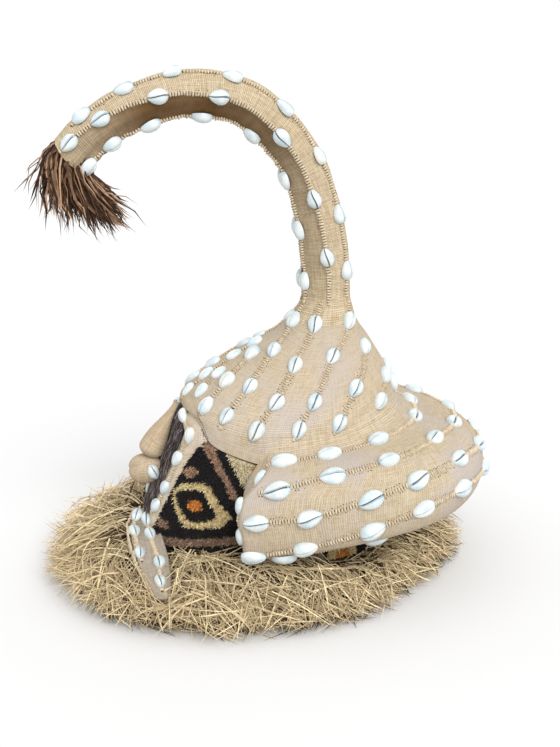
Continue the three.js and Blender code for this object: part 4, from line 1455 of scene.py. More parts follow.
@dataclass
class SideRoll:
    """Padded roll, its cloth puffed out between the rows, with its shells."""

    rows: RowMaker
    squares: tuple = (64, 150)
    weave: tuple = (430, 640)
    end_weave: float = 7.0
    puff: float = 4.0
    frames: int = 20
    held_reach: float = 0.006
    mass: float = 0.3
    stretch: float = 25
    shear: float = 12
    bending: float = 1.5
    pressure: float = 4
    row_lines: dict = field(
        default_factory=lambda: {
            1: (FIRST_ROW, (0.09, 0.155, 0.255, 0.4, 0.5)),
            2: (
                ((0.07, 5.65), (0.14, 5.1), (0.23, 4.7), (0.34, 4.5), (0.44, 4.9), (0.5, 5.2)),
                (0.075, 0.143, 0.228, 0.335, 0.42, 0.5),
            ),
            3: (
                ((0.04, 7), (0.11, 6.9), (0.18, 6.4), (0.25, 5.9), (0.32, 5.75), (0.44, 6.2), (0.5, 6.3)),
                (0.047, 0.113, 0.183, 0.247, 0.323, 0.4, 0.47),
            ),
            4: (
                ((0.04, 8.85), (0.11, 8.45), (0.19, 7.8), (0.25, 7.25), (0.31, 7.0), (0.39, 7.2), (0.5, 7.5)),
                (0.043, 0.11, 0.186, 0.248, 0.31, 0.394, 0.47),
            ),
            5: (((0.04, 9.75), (0.085, 9.4), (0.15, 9.6), (0.5, 9.4)), (0.085, 0.21, 0.33, 0.45)),
        }
    )
    end_row: tuple = ((0.5, 0.92), (0.8, 0.66), (0.76, 0.28))

    def section(self, around: Array) -> tuple[Array, Array]:
        """Rounded section of the roll: shares of its width and height by share round it."""
        ring = np.asarray(ROLL.section, float)
        count = len(ring)
        at = np.mod(around, 1) * count
        low = np.floor(at).astype(int)
        s = (at - low)[:, None]
        p0, p1, p2, p3 = (ring[(low + k) % count] for k in (-1, 0, 1, 2))
        square, cube = 2 * p0 - 5 * p1 + 4 * p2 - p3, 3 * (p1 - p2) + p3 - p0
        spot = 0.5 * (2 * p1 + (p2 - p0) * s + square * s**2 + cube * s**3)
        return np.clip(spot[:, 0], 0.0, 1.03), spot[:, 1]

    def place(self, around: Array, down: Array) -> Array:
        """Point of the roll's cloth; its ends are drawn in over the stuffing."""
        across, up = self.section(around)
        end = np.minimum(down, 1 - down)
        drawn = np.clip(end / 0.018, 0, 1)
        inset = 1 - 0.07 * (1 - np.sqrt(1 - (1 - drawn) ** 2))
        flat = np.clip((end - 0.002) / 0.004, 0, 1)
        shrink = np.where(end < 0.0035, flat * 0.9, inset)
        middle_across, middle_up = 0.45, 0.5
        across = middle_across + (across - middle_across) * shrink
        up = middle_up + (up - middle_up) * shrink
        share = np.clip((down - 0.006) / 0.988, 0, 1)
        return ROLL.point(ROLL.reach(share, np.clip(up, 0, 1)), across, up)

    def build(self) -> None:
        """Makes the roll and its rows."""
        cloth = laid_grid("side_roll", self.squares, self.place, self.weave)
        settle(cloth)
        self.even_ends(cloth)
        self.inflate(cloth)
        apply_modifier(cloth, "SUBSURF", levels=1, render_levels=1)
        dress(cloth, "raffia_cloth", ["side_roll"], CLOTH)
        skin = Skin(cloth)
        for index, (pairs, shells) in self.row_lines.items():
            stops = [*shells, *(1 - s for s in reversed(shells) if s < 0.5)]
            lead = 0.0 if index in (3, 4) else 5.5
            line = partial(self.on_row, pairs)
            self.rows.sew(f"roll_row_{index}", line, stops, BIG_SHELL, skin, (lead, lead))
        for end, side in enumerate(Side):
            name, line = f"roll_end_row_{side.name.lower()}", partial(self.on_end, end)
            self.rows.sew(name, line, (0.02, 0.52, 0.98), SMALL_SHELL, skin)

    def even_ends(self, cloth: Piece) -> None:
        """Lays the weave flat over the roll's blunt ends."""
        mesh = cloth.data
        spots = points_of(cloth) / MM - HEAD_AXIS
        layer = mesh.uv_layers[WEAVE_MAP].data
        for face in mesh.polygons:
            down = [layer[i].uv[1] for i in face.loop_indices]
            if max(down) < self.end_weave or min(down) > self.weave[1] - self.end_weave:
                for index, vertex in zip(face.loop_indices, face.vertices):
                    x, y, z = spots[vertex]
                    layer[index].uv = (z, math.hypot(x, y))

    def on_row(self, pairs: tuple, share: Array) -> Array:
        """Point of a row round the roll, the same on both sides."""
        inside = np.clip(share, 0.012, 0.988)
        return ROLL.surface(inside, along(pairs, np.minimum(inside, 1 - inside)))

    def on_end(self, end: int, share: Array) -> Array:
        """Point of the row of shells on one blunt end of the roll."""
        across, up = path_at(self.end_row, np.clip(share, 0, 1)).T
        return ROLL.point(ROLL.reach(np.full(len(up), float(end)), up), across, up)

    def inflate(self, cloth: Piece) -> None:
        """Fills the roll with air while its seams are held, so that its panels puff out a little."""
        rest = points_of(cloth)
        shares = np.linspace(0, 1, 260)
        seams = np.vstack([to_frame(self.on_row(pairs, shares)) for pairs, _ in self.row_lines.values()])
        gap = np.full(len(rest), 1.0)
        for start in range(0, len(seams), 200):
            far = np.linalg.norm(rest[:, None] - seams[None, start : start + 200], axis=2)
            gap = np.minimum(gap, far.min(1))
        held = np.clip(1 - gap / self.held_reach, 0, 1)
        group = cloth.vertex_groups.new(name="seams")
        for index, weight in enumerate(held):
            group.add([index], float(weight), "REPLACE")
        modifier = cloth.modifiers.new("Fill", "CLOTH")
        stuff = modifier.settings
        stuff.quality = 6
        stuff.mass = self.mass
        stuff.tension_stiffness = stuff.compression_stiffness = self.stretch
        stuff.shear_stiffness = self.shear
        stuff.bending_stiffness = self.bending
        stuff.use_pressure = True
        stuff.uniform_pressure_force = self.pressure
        stuff.vertex_group_mass = "seams"
        stuff.effector_weights.gravity = 0
        modifier.collision_settings.use_collision = False
        scene = bpy.context.scene
        for step in range(1, self.frames + 1):
            scene.frame_set(step)
        seen = cloth.evaluated_get(bpy.context.evaluated_depsgraph_get())
        moved = np.array([v.co[:] for v in seen.data.vertices])
        cloth.modifiers.remove(modifier)
        cloth.vertex_groups.remove(group)
        scene.frame_set(1)
        shift = np.nan_to_num(moved - rest)
        far = np.linalg.norm(shift, axis=1, keepdims=True)
        most = self.puff * MM
        set_points(cloth, rest + shift * np.minimum(1, most / np.maximum(far, 1e-9)))
        log.info("side_roll: cloth moved %.1f mm at most before the cap", far.max() / MM)


@dataclass
class Face:
    """Fur face with its border of cloth and shells, the nose and the rounded mouth."""

    rows: RowMaker
    fur_edge: tuple = ((0, 181), (16, 173), (34, 158), (27, 134), (20, 100), (12, 77), (0, 60))
    band_edge: tuple = (
        (0, 198), (38, 198), (65, 158), (51, 134), (41, 100), (37, 77), (34, 55), (14, 44), (0, 44),
    )
    band_row: tuple = ((7, 183), (20, 174), (45, 160), (37, 134), (31, 100), (25, 77), (16, 60))
    band_shells: tuple = (0.18, 0.34, 0.51, 0.68, 0.84)
    band_thick: float = 3.3
    fur_thick: float = 2.6
    skin_tone: float = 0.1
    hairs: int = 5200
    nose_top: tuple = (-117.5, 181.0)
    nose_foot: tuple = (-146.3, 132.5)
    nose_half: tuple = (4.5, 14.5)
    nose_deep: tuple = (2.9, 13.2)
    bulb_centre: tuple = (0.0, -153.0, 110.0)
    bulb_half: tuple = (15.0, 18.0, 15.5)
    mouth_shell: tuple = (14.0, -146.3, 110.2)

    def resampled(self, edge: tuple, share: Array) -> Array:
        """Points at shares of an outline's length."""
        table = np.asarray(edge, float)
        reach = distances(table)
        return read(share * reach[-1], reach, table)

    def band_place(self, side: int, across: Array, down: Array) -> Array:
        """Point of one half of the border by shares across and down it."""
        inner, outer = self.resampled(self.fur_edge, down), self.resampled(self.band_edge, down)
        x, z = mix(inner, outer, across[:, None]).T
        puff = self.band_thick + 1.0 * np.sin(np.pi * across) ** 0.6 + 0.25 * np.sin(down * 90)
        under = HAT.brim(HELMET.turn_at(x, z, puff)) - 11.0
        over = np.maximum(z - under, 0)
        height = np.minimum(z, under) + over * 0.3
        return HELMET.facing(side * x, height, puff - 2.4 * smooth(over, 0, 14))

    def fur_place(self, across: Array, down: Array) -> Array:
        """Point of the skin under the fur."""
        edge = self.resampled(self.fur_edge, down)
        x = edge[:, 0] * (2 * across - 1) * 1.06
        return HELMET.facing(x, edge[:, 1], self.fur_thick)

    def build(self) -> None:
        """Makes all of the face."""
        skins = {}
        for side in Side:
            name = "face_border_" + side.name.lower()
            band = laid_grid(name, (12, 90), partial(self.band_place, side.value), (22, 190))
            face_away(band, BEHIND)
            apply_modifier(band, "SOLIDIFY", thickness=2.2 * MM, offset=-1)
            dress(band, "pale_cloth", ["face_border"], PALE_CLOTH)
            skins[side] = Skin(band)
        hide = laid_grid("face_fur_skin", (20, 60), self.fur_place, (60, 120))
        face_away(hide, BEHIND)
        apply_modifier(hide, "SOLIDIFY", thickness=1.5 * MM, offset=-1)
        carry(hide.data, TONE, np.full(len(hide.data.vertices), self.skin_tone))
        dress(hide, "dark_fur", ["face_fur"], FUR)
        self.hair()
        self.build_nose()
        bulb = Skin(self.build_bulb())
        for side in Side:
            self.sew(side, skins[side], bulb)

    def hair(self) -> None:
        """Lays hair down the face, longest at the sides of the nose."""
        rng = np.random.default_rng(21)
        count, rings = self.hairs, 5
        down = rng.beta(1.1, 1.3, count) * 0.93
        edge = self.resampled(self.fur_edge, down)
        x = edge[:, 0] * rng.uniform(-0.98, 0.98, count)
        length = rng.uniform(14, 30, count)
        drift = rng.normal(0, 0.16, count)
        lift = rng.uniform(1.2, 4.6, count)
        paths = np.empty((count, rings, 3))
        for k, share in enumerate(np.linspace(0, 1, rings)):
            z = np.maximum(edge[:, 1] - length * share, 50)
            grow = self.fur_thick + lift * math.sin(math.pi * (0.15 + 0.7 * share)) + 0.8 * share
            paths[:, k] = HELMET.facing(x + drift * length * share, z, grow)
        tone = np.where(rng.random(count) < 0.24, rng.uniform(0.65, 1, count), rng.uniform(0, 0.6, count))
        fur = Strands(rings).piece("face_fur_hair", paths, rng.uniform(0.2, 0.42, count), 0.6, tone, 22)
        dress(fur, "dark_fur", ["face_fur"], FUR, angle=70)

    def on_border(self, side: int, share: Array) -> Array:
        """Point of the border's row."""
        x, z = path_at(self.band_row, np.clip(share, 0, 1)).T
        return HELMET.facing(side * x, z, self.band_thick + 1)

    def beside_mouth(self, side: int, share: Array) -> Array:
        """Point of the short upright line beside the mouth."""
        x, y, z = self.mouth_shell
        down = 18 * (share - 0.5)
        return np.stack([np.full_like(down, side * x), y + 0.35 * down, z - down], -1)

    def sew(self, side: Side, band: Skin, bulb: Skin) -> None:
        """Sews the border's row and the shell beside the mouth."""
        name, border = side.name.lower(), partial(self.on_border, side.value)
        self.rows.sew("face_row_" + name, border, self.band_shells, SMALL_SHELL, band, (4.0, 3.0))
        mouth = partial(self.beside_mouth, side.value)
        self.rows.sew("mouth_shell_" + name, mouth, (0.5,), SMALL_SHELL, bulb)

    def nose_place(self, around: Array, down: Array) -> Array:
        """Point of the nose by shares round and down it."""
        top, foot = np.array(self.nose_top), np.array(self.nose_foot)
        axis = unit(foot - top)
        share = np.clip(down / 0.8, 0, 1)
        cap = np.clip((down - 0.8) / 0.2, 0, 1) * math.pi / 2
        middle = mix(top, foot, share[:, None]) + axis * (9.0 * np.sin(cap))[:, None]
        angle = around * TURN
        fold = 0.14 * np.sin(share * 95 + np.sin(angle) * 1.5) + 0.3 * np.sin(angle * 3 + share * 5)
        swell = np.sin(share * math.pi / 2) ** 1.95
        half = (mix(*self.nose_half, swell) + fold) * np.cos(cap)
        deep = (mix(*self.nose_deep, swell) + fold) * np.cos(cap)
        forward = np.array([axis[1], -axis[0]])
        spot = middle + forward * (deep * np.cos(angle))[:, None]
        return np.stack([half * np.sin(angle), spot[:, 0], spot[:, 1]], -1)

    def build_nose(self) -> None:
        """Makes the nose: a cloth cone, fuller below and turned in under its tip."""
        nose = laid_grid("nose", (36, 60), self.nose_place, (80, 78))
        settle(nose)
        with edit(nose, "ALL"):
            bpy.ops.mesh.fill_holes(sides=0)
            bpy.ops.mesh.normals_make_consistent(inside=False)
        dress(nose, "pale_cloth", ["nose"], NOSE_CLOTH)

    def bulb_place(self, around: Array, down: Array) -> Array:
        """Point of the rounded mouth, a little creased where the nose rests on it."""
        angle, polar = around * TURN, down * math.pi
        x, y, z = np.sin(polar) * np.sin(angle), -np.sin(polar) * np.cos(angle), np.cos(polar)
        upright = np.sin(polar) ** 0.7 / np.maximum(np.sin(polar), 1e-6)
        fold = 0.09 * np.exp(-(((z - 0.1 - 0.5 * x) / 0.13) ** 2)) * smooth(np.cos(angle), -0.3, 0.6)
        crease = upright * (1 - fold + 0.03 * np.sin(angle * 5 + 3 * z) * np.sin(polar) ** 2)
        ball = np.stack([x * crease, y * crease, z], -1)
        return np.array(self.bulb_centre) + ball * np.array(self.bulb_half)

    def build_bulb(self) -> Piece:
        """Makes the rounded mouth below the nose."""
        bulb = laid_grid("mouth", (40, 24), self.bulb_place, (95, 46))
        settle(bulb)
        dress(bulb, "pale_cloth", ["mouth"], NOSE_CLOTH)
        return bulb


def lozenge(dye: Dye, middle: float, across: float, up: float, height: float = 66.0) -> tuple:
    """A dyed lozenge of the row on the side, by its middle and its half sizes."""
    left, right = (middle - across, height), (middle + across, height)
    return dye, (left, (middle, height + up), right, (middle, height - up))


@dataclass
class PilePanels:
    """Cut-pile cloth round the helmet below the hat, with dyed lozenges and stripes."""

    ground: float = 3.6
    ground_shade: float = 0.6
    low: float = 28.0
    tuft_height: float = 2.4
    tufts: int = 30000
    edge: tuple = ((46, 0), (52, 30), (77, 36), (100, 41), (134, 51), (158, 65), (198, 38))
    shapes: tuple = (
        (Dye.MAUVE, ((36.8, 152.5), (39, 166), (46, 166), (47, 147.5), (54.5, 128), (60.5, 110.5),
            (62.5, 100), (58, 103), (54.8, 117.5), (48.8, 132), (41.5, 145.5))),
        (Dye.BEIGE, ((50, 157), (52, 150), (57.5, 136), (62.5, 119.5), (66, 108), (71, 96),
            (92, 92), (92, 160))),
        (Dye.ORANGE, ((66.5, 134), (68, 138), (72, 136), (72.4, 129.5), (68, 129))),
        (Dye.MAUVE, ((27.0, 124), (33.2, 131.5), (39, 127), (36.4, 119), (29.5, 118))),
        (Dye.GOLD, ((25.1, 95), (25.5, 103), (30.2, 111), (41.2, 115.5), (46.8, 113.5), (53, 98),
            (60.2, 82), (56.4, 71.5), (46.4, 67), (38.6, 66), (34.2, 74.5), (28.2, 84))),
        (Dye.BLACK, ((27.2, 98.5), (29.6, 103), (40.8, 108), (44.4, 105.5), (53.8, 82),
            (50.8, 77), (43.5, 73), (39.5, 73.5), (30, 88.5))),
        (Dye.ORANGE, ((36.4, 92.8), (40.8, 97), (45.2, 93.5), (45.4, 86.4), (40.4, 84),
            (36.7, 88))),
        (Dye.UMBER, ((18.5, 66), (26.8, 68), (29.5, 61), (22, 57.5))),
        (Dye.UMBER, ((18, 42), (18, 50), (29, 51), (54.5, 59), (72, 64), (72, 55), (54, 50),
            (30, 42))),
        lozenge(Dye.GOLD, 89, 14, 22),
        lozenge(Dye.BLACK, 89, 9, 14),
        lozenge(Dye.ORANGE, 89, 4, 5),
        (Dye.MAUVE, ((104, 100), (110, 100), (122, 42), (116, 42))),
        (Dye.BEIGE, ((124, 80), (146, 80), (140, 50), (120, 50))),
        lozenge(Dye.ORANGE, 133, 4, 5),
        lozenge(Dye.GOLD, 165, 15, 22),
        lozenge(Dye.BLACK, 165, 10, 14),
        lozenge(Dye.ORANGE, 165, 4, 5),
        (Dye.UMBER, ((91, 22), (91, 37), (97, 40), (97, 22))),
        (Dye.GOLD, ((98.5, 22), (100, 40), (112, 47), (118, 31), (113, 22))),
        (Dye.ORANGE, ((103, 22), (104.5, 35), (110.5, 40), (112.5, 29), (110, 22))),
    )

    def edge_turn(self, height: Array) -> Array:
        """Turn at which the face's border ends, at a height."""
        x = along(self.edge, height)
        return HELMET.turn_at(x, height, self.ground) - 0.01

    def place(self, around: Array, down: Array) -> Array:
        """Point of the pile's ground by shares round and down it."""
        turn = mix(math.radians(25), TURN - math.radians(25), around)
        for _ in range(4):
            height = mix(HAT.skirt(turn) - 1.0, self.low, down)
            edge = self.edge_turn(height)
            turn = mix(edge, TURN - edge, around)
        return HELMET.wall(turn, mix(HAT.skirt(turn) - 1.0, self.low, down), self.ground)

    def dyes(self, turn: Array, height: Array) -> Array:
        """Colour of the pile at each place.

        Args:
            turn: turns in radians.
            height: heights.

        Returns:
            One colour for each place.
        """
        degrees = from_front(turn)
        colours = np.tile(np.array(Dye.BLACK.value), (len(degrees), 1))
        for dye, corners in self.shapes:
            colours[self.within(degrees, height, corners)] = dye.value
        return colours

    def within(self, x: Array, y: Array, corners: Points) -> Array:
        """Truth for each point that lies in a polygon."""
        inside = np.zeros(len(x), bool)
        for (x1, y1), (x2, y2) in zip(corners, [*corners[1:], corners[0]]):
            if y1 == y2:
                continue
            crosses = (y1 > y) != (y2 > y)
            inside ^= crosses & (x < (x2 - x1) * (y - y1) / (y2 - y1) + x1)
        return inside

    def build(self) -> None:
        """Makes the ground and the tufts."""
        cloth = laid_grid("pile_cloth_ground", (260, 44), self.place, (600, 110))
        settle(cloth)
        spots = points_of(cloth) / MM - HEAD_AXIS
        # Painted shade: the ground's dyes are darkened under the tufts.
        carry(cloth.data, DYE_AND_SHADE, self.dyes(self.wall_turn(spots), spots[:, 2]) * self.ground_shade)
        face_away(cloth, (0, 0, 0))
        apply_modifier(cloth, "SOLIDIFY", thickness=1.6 * MM, offset=-1)
        dress(cloth, "cut_pile", ["pile_cloth"], PILE)
        self.build_tufts()

    def wall_turn(self, spots: Array) -> Array:
        """Turn of points that lie on the wall, from their places."""
        corner = np.where(spots[:, 1] < 0, HELMET.front_corner(spots[:, 2]), HELMET.back_corner)
        share = np.clip(np.abs(spots[:, 0]) / (HELMET.half_width + self.ground), 0, 1)
        quarter = np.arcsin(share ** (corner / 2))
        turn = np.where(spots[:, 1] < 0, quarter, math.pi - quarter)
        return np.where(spots[:, 0] < 0, TURN - turn, turn)

    def build_tufts(self) -> None:
        """Makes the tufts: short cut ends, thickest where the panel shows."""
        rng = np.random.default_rng(33)
        shown = rng.random(self.tufts) < 0.62
        around = np.where(shown, rng.uniform(0, 0.21, self.tufts), rng.uniform(0.21, 0.5, self.tufts))
        down = np.where(shown, rng.random(self.tufts), rng.uniform(0.15, 1, self.tufts))
        around = np.where(rng.random(self.tufts) < 0.5, around, 1 - around)
        foot = self.place(around, down)
        turn = self.wall_turn(foot)
        tall = self.tuft_height * rng.uniform(0.75, 1.25, self.tufts)
        tip = HELMET.wall(turn, foot[:, 2], self.ground + tall)
        tip += rng.normal(0, 0.75, tip.shape) + np.array([0, 0, -0.5])
        out = unit(tip - foot)
        side = unit(np.cross(out, rng.normal(size=out.shape)))
        over = np.cross(out, side)
        width = rng.uniform(0.55, 1.0, self.tufts)[:, None]
        angles = (TURN * k / 3 for k in range(3))
        corners = [foot + (side * math.cos(a) + over * math.sin(a)) * width for a in angles]
        spots = np.stack([*corners, tip, tip + side * width * 0.35], 1)
        shape = np.array([(0, 1, 3), (1, 4, 3), (1, 2, 4), (2, 0, 3), (2, 3, 4)])
        faces = (shape[None] + (np.arange(self.tufts) * 5)[:, None, None]).reshape(-1, 3)
        mesh = bpy.data.meshes.new("pile_cloth_tufts")
        mesh.from_pydata(to_frame(spots.reshape(-1, 3)).tolist(), [], faces.tolist())
        jitter = rng.normal(0, 0.006, self.tufts)
        colours = self.dyes(turn + jitter, foot[:, 2] + rng.normal(0, 0.5, self.tufts))
        colours = colours * np.exp(rng.normal(0, 0.25, self.tufts))[:, None]
        # Painted shade at each tuft's foot and painted light at its tip.
        shade = np.array([0.55, 0.55, 0.55, 1.25, 1.1])
        carry(mesh, DYE_AND_SHADE, np.clip(colours[:, None] * shade[None, :, None], 0, 1).reshape(-1, 3))
        dress(stand(mesh.name, mesh), "cut_pile", ["pile_cloth"], PILE, angle=30)


@dataclass
class BeardFlap:
    """Flap of doubled cloth that hangs from the chin and lies over the collar."""

    rows: RowMaker
    thick: float = 2.2
    # How much darker the flap grows towards its chin end.
    darkening: float = 0.4
    front_row: tuple = (((0, -0.78), (0.5, -0.74)), (0.09, 0.27, 0.5))
    back_row: tuple = (((0.02, 0.1), (0.3, 0.3), (0.62, 0.42), (0.82, 0.1)), (0.14, 0.3, 0.62, 0.82))

    def place(self, across: Array, down: Array) -> Array:
        """Point of the flap by shares across and down it."""
        share = np.clip(down, 0, 1)
        x, y, z, half = path_at(FLAP_LINE, share).T
        before, after = (path_at(FLAP_LINE, np.clip(share + step, 0, 1)) for step in (-0.05, 0.05))
        run = unit((after - before)[:, :2])
        side = 2 * across - 1
        lift = 1.5 * side**2 + 0.9 * np.sin(share * 9 + side * 2) + 2.2 * smooth(side, 0.72, 1.0)
        return np.stack([x - run[:, 1] * half * side, y + run[:, 0] * half * side, z + lift], -1)

    def build(self) -> None:
        """Makes the flap, its whipped edge and its shells."""
        flap = laid_grid("beard_flap", (20, 64), self.place, (32, 140))
        face_away(flap, BELOW)
        apply_modifier(flap, "SOLIDIFY", thickness=self.thick * MM, offset=-1)
        ahead = points_of(flap)[:, 0] / MM - HEAD_AXIS[0]
        # The flap is darker towards its chin end.
        carry(flap.data, TONE, self.darkening * smooth(-ahead, -60, -12))
        dress(flap, "pale_cloth", ["beard_flap"], FLAP_CLOTH)
        skin = Skin(flap)
        for name, (across, shells) in (("front", self.front_row), ("back", self.back_row)):
            line = partial(self.on_row, across)
            self.rows.sew("flap_row_" + name, line, shells, SMALL_SHELL, skin, (3.0, 4.0))
        self.whip(skin)

    def on_row(self, across: tuple, share: Array) -> Array:
        """Point of a row at a share of the flap."""
        return self.place((along(across, share) + 1) / 2, share)

    def whip(self, skin: Skin) -> None:
        """Whips the flap's front edge with short threads."""
        whole = Gathering()
        down = np.linspace(0.05, 0.95, 58)
        edge = self.place(np.full(len(down), -0.1), down)
        _, normals = skin.nearest(to_frame(edge))
        points = to_frame(edge)
        reach = distances(points) / MM
        for at in reach[1:-1]:
            swell = math.exp(-(((at / reach[-1] - 0.5) / 0.22) ** 2))
            sizes = np.array([0.7, 2.2 + 2.4 * swell * self.rows.rng.uniform(0.5, 1.2), 1.1])
            twist = self.rows.rng.normal(0.3, 0.25)
            self.rows.lay(whole, self.rows.knot, sizes, (reach, points, normals), at, 0, twist, 0.6)
        edge = whole.piece("beard_flap_whipping")
        dress(edge, "pale_cloth", [], KNOTS, KNOTS, KNOTS)


@dataclass
class RaffiaCollar:
    """Thick collar of loose straw, on a mat that holds its roots; the mat's near-black colour is painted
    shade deep in the straw.
    """

    strands: int = 10400
    parts: int = 4
    rings: int = 5
    loose: float = 0.09
    stiffness: float = 0.75
    stray: float = 0.075
    straw: tuple = (58, 16)
    long_straw: tuple = (80, 18)
    lean: tuple = ((0, 0.0), (14, 0.35), (30, 1.05), (48, 0.9), (62, 0.4), (90, 0.35), (125, 0.3), (180, 0.1))
    low_side: tuple = ((92, 0), (104, 15), (122, 15), (136, 0))
    open_side: tuple = (92, 142, 44)
    beside_face: tuple = (18, 76, 34)
    side_height: float = 38.0
    face_height: float = 44.0
    under_flap: float = 6.0
    no_limit: float = 200.0
    seed: int = 77
    straw_seed: int = 80

    def mat_place(self, around: Array, over: Array) -> Array:
        """Point of the mat under the straw by shares round it and over its section."""
        turn = around * TURN
        share = along(((0, -0.07), (0.08, 0.02), (0.5, 0.45), (0.8, 0.8), (0.9, 0.77), (1, -0.07)), over)
        ragged = 0.02 * np.sin(turn * 31) * (share > 0.8)
        top = COLLAR.height(np.clip(share, 0, 1)) - 6.0
        dip = along(self.low_side, from_front(turn))
        top = top - dip * smooth(-share, -0.6, -0.3)
        height = np.where(over < 0.85, top, 0.4)
        height = np.where(over < 0.04, COLLAR.top - 0.6 - dip, height)
        return COLLAR.point(turn, share + ragged, np.maximum(height, 0.4))

    def build(self) -> None:
        """Makes the mat and the straw."""
        mat = laid_grid("raffia_collar_shade_mat", (150, 24), self.mat_place, (900, 200))
        settle(mat)
        carry(mat.data, TONE, np.full(len(mat.data.vertices), 0.5))
        # Painted shade: the dark mat shows between the straws.
        dress(mat, "straw_raffia", ["raffia_collar"], COLLAR_SHADE_MAT)
        blade = Strands(self.rings)
        rng = np.random.default_rng(self.seed)
        turn = self.even_turns(rng)
        for part in range(self.parts):
            chosen = (turn >= TURN * part / self.parts) & (turn < TURN * (part + 1) / self.parts)
            self.lay_straw(f"raffia_collar_{part + 1}", blade, turn[chosen], self.straw_seed + part)

    def even_turns(self, rng: np.random.Generator) -> Array:
        """Turns spread evenly over the collar's area."""
        fine = np.linspace(0, TURN, 721)
        rim = COLLAR.point(fine, np.full_like(fine, 0.5), np.zeros_like(fine))
        steps = np.linalg.norm(np.diff(rim, axis=0), axis=1)
        crowd = 1 + 0.3 * np.sin(fine * 17 + 1) * np.sin(fine * 5)
        weight = steps * (COLLAR.reach_at(fine) * crowd)[:-1]
        reach = np.concatenate([[0], np.cumsum(weight)])
        return np.interp(rng.random(self.strands), reach / reach[-1], fine)

    def ceiling(self, spots: Array) -> Array:
        """Greatest height of the straw, where the flap lies on it or the pile is to show."""
        line = path_at(FLAP_LINE, np.linspace(0, 1, 60))
        gap = np.linalg.norm(spots[:, None, :2] - line[None, :, :2], axis=2)
        nearest = gap.argmin(1)
        under = gap.min(1) < line[nearest, 3] + 5
        limit = np.where(under, line[nearest, 2] - self.under_flap, self.no_limit)
        around = np.arctan2(spots[:, 0], -spots[:, 1])
        turn = np.abs(np.degrees(around))
        from_wall = np.hypot(*(spots - HELMET.wall(around, HELMET.rim))[:, :2].T)
        low = self.side_height - 1.2 * along(self.low_side, turn) * smooth(-from_wall, -44, -20)
        for (start, end, width), height in ((self.open_side, low), (self.beside_face, self.face_height)):
            inside = (turn > start) & (turn < end) & (from_wall < width)
            limit = np.minimum(limit, np.where(inside, height, self.no_limit))
        return limit

    def stiffen(self, paths: Array) -> Array:
        """Straws drawn nearly straight, and raised so that their ends stand clear of the heap."""
        steps = np.linspace(0, 1, self.rings)[None, :, None]
        chord = mix(paths[:, :1], paths[:, -1:], steps)
        sunk = np.maximum((paths - chord)[..., 2].max(1), 0)
        stiff = mix(paths, chord, self.stiffness)
        stiff[..., 2] += 0.5 * self.stiffness * sunk[:, None]
        return stiff

    def clumps(self, turn: Array, share: Array) -> tuple[Array, Array]:
        """Lean and lift that neighbouring straws have in common."""
        lean = 0.42 * np.sin(turn * 9 + 5 * share + 1.0) + 0.3 * np.sin(turn * 23 - 9 * share)
        lift = 2.6 * np.sin(turn * 14 + 7 * share) + 2.2 * np.sin(turn * 31 - 11 * share + 2.0)
        return lean, lift

    def lay_straw(self, name: str, blade: Strands, turn: Array, seed: int) -> None:
        """Lays one part of the collar's straw.

        Args:
            name: the piece's name.
            blade: the strand that is copied.
            turn: where each straw starts.
            seed: start of the random numbers.
        """
        rng = np.random.default_rng(seed)
        count = len(turn)
        layer = rng.random(count)
        ahead = smooth(np.cos(turn), -0.1, 0.8)
        loose = layer > 1 - self.loose * (1 + ahead)
        signed = np.degrees(np.arctan2(np.sin(turn), np.cos(turn)))
        laid = along(self.lean, np.abs(signed)) * np.sign(signed)
        start = rng.beta(1.0, 1.5 - 0.7 * smooth(np.abs(laid), 0.4, 1.0), count) * 0.94
        lean, lift = self.clumps(turn, start)
        wild = rng.random(count) < 0.11 + 0.12 * smooth(np.abs(signed), 40, 70)
        slant = np.where(wild, rng.normal(0, 1.2, count), laid + 0.8 * lean + rng.normal(0, 0.24, count))
        bundle = (np.abs(signed - 9) < 3.5) & (rng.random(count) < 0.3)
        stray = bundle | (rng.random(count) < self.stray * (1 + ahead))
        loose = loose | stray
        start = np.where(stray, rng.uniform(0.55, 0.85, count), start)
        strays = np.where(bundle, rng.normal(-0.1, 0.08, count), rng.normal(0, 0.8, count))
        slant = np.where(stray, strays, slant)
        length = np.where(loose, rng.normal(*self.long_straw, count), rng.normal(*self.straw, count))
        length = length.clip(24, 115)
        reach = COLLAR.reach_at(turn)
        ragged = 0.09 * np.sin(turn * 11 + 2) + 0.06 * np.sin(turn * 27) + 0.05 * np.sin(turn * 5)
        room = (1.02 + ragged - start) * reach + rng.normal(0, 7, count)
        room = room + np.where(loose, rng.uniform(0, 12, count), 0)
        room = np.where(stray, (1 - start) * reach + rng.uniform(6, 21, count) + 9 * ahead, room)
        run = np.minimum(length * np.cos(slant), room)
        swing = length * np.sin(slant)
        curl = rng.normal(0, 0.12, count)
        stands = loose & (rng.random(count) < 0.5)
        high, low = rng.uniform(3, 17, count) * (1 + 1.3 * ahead), rng.uniform(0, 6, count) * layer
        rise = np.where(loose, high, low)
        depth = mix(0.1, 1.0, np.minimum(layer / 0.7, 1))
        run = run * mix(0.8, 1.0, depth)
        edge = smooth(start + run / reach, 0.72, 1.0)
        paths = np.empty((count, self.rings, 3))
        for k, part in enumerate(np.linspace(0, 1, self.rings)):
            far = start * reach + run * part
            share = np.clip(far / reach, -0.03, (reach + np.where(stray, 21 + 8 * ahead, 12)) / reach)
            side = swing * part + curl * length * part**2
            here = turn + side / (118 + far)
            arch = rise * np.where(stands, part**1.3, math.sin(math.pi * min(1, part * 0.85 + 0.12)))
            top = COLLAR.height(share) + lift * np.minimum(1, layer * 1.5) * smooth(1.1 - share, 0, 0.4)
            paths[:, k] = COLLAR.point(here, share, top * depth + arch + rng.normal(0, 0.7, count))
        paths = self.stiffen(paths)
        flat = paths.reshape(-1, 3)
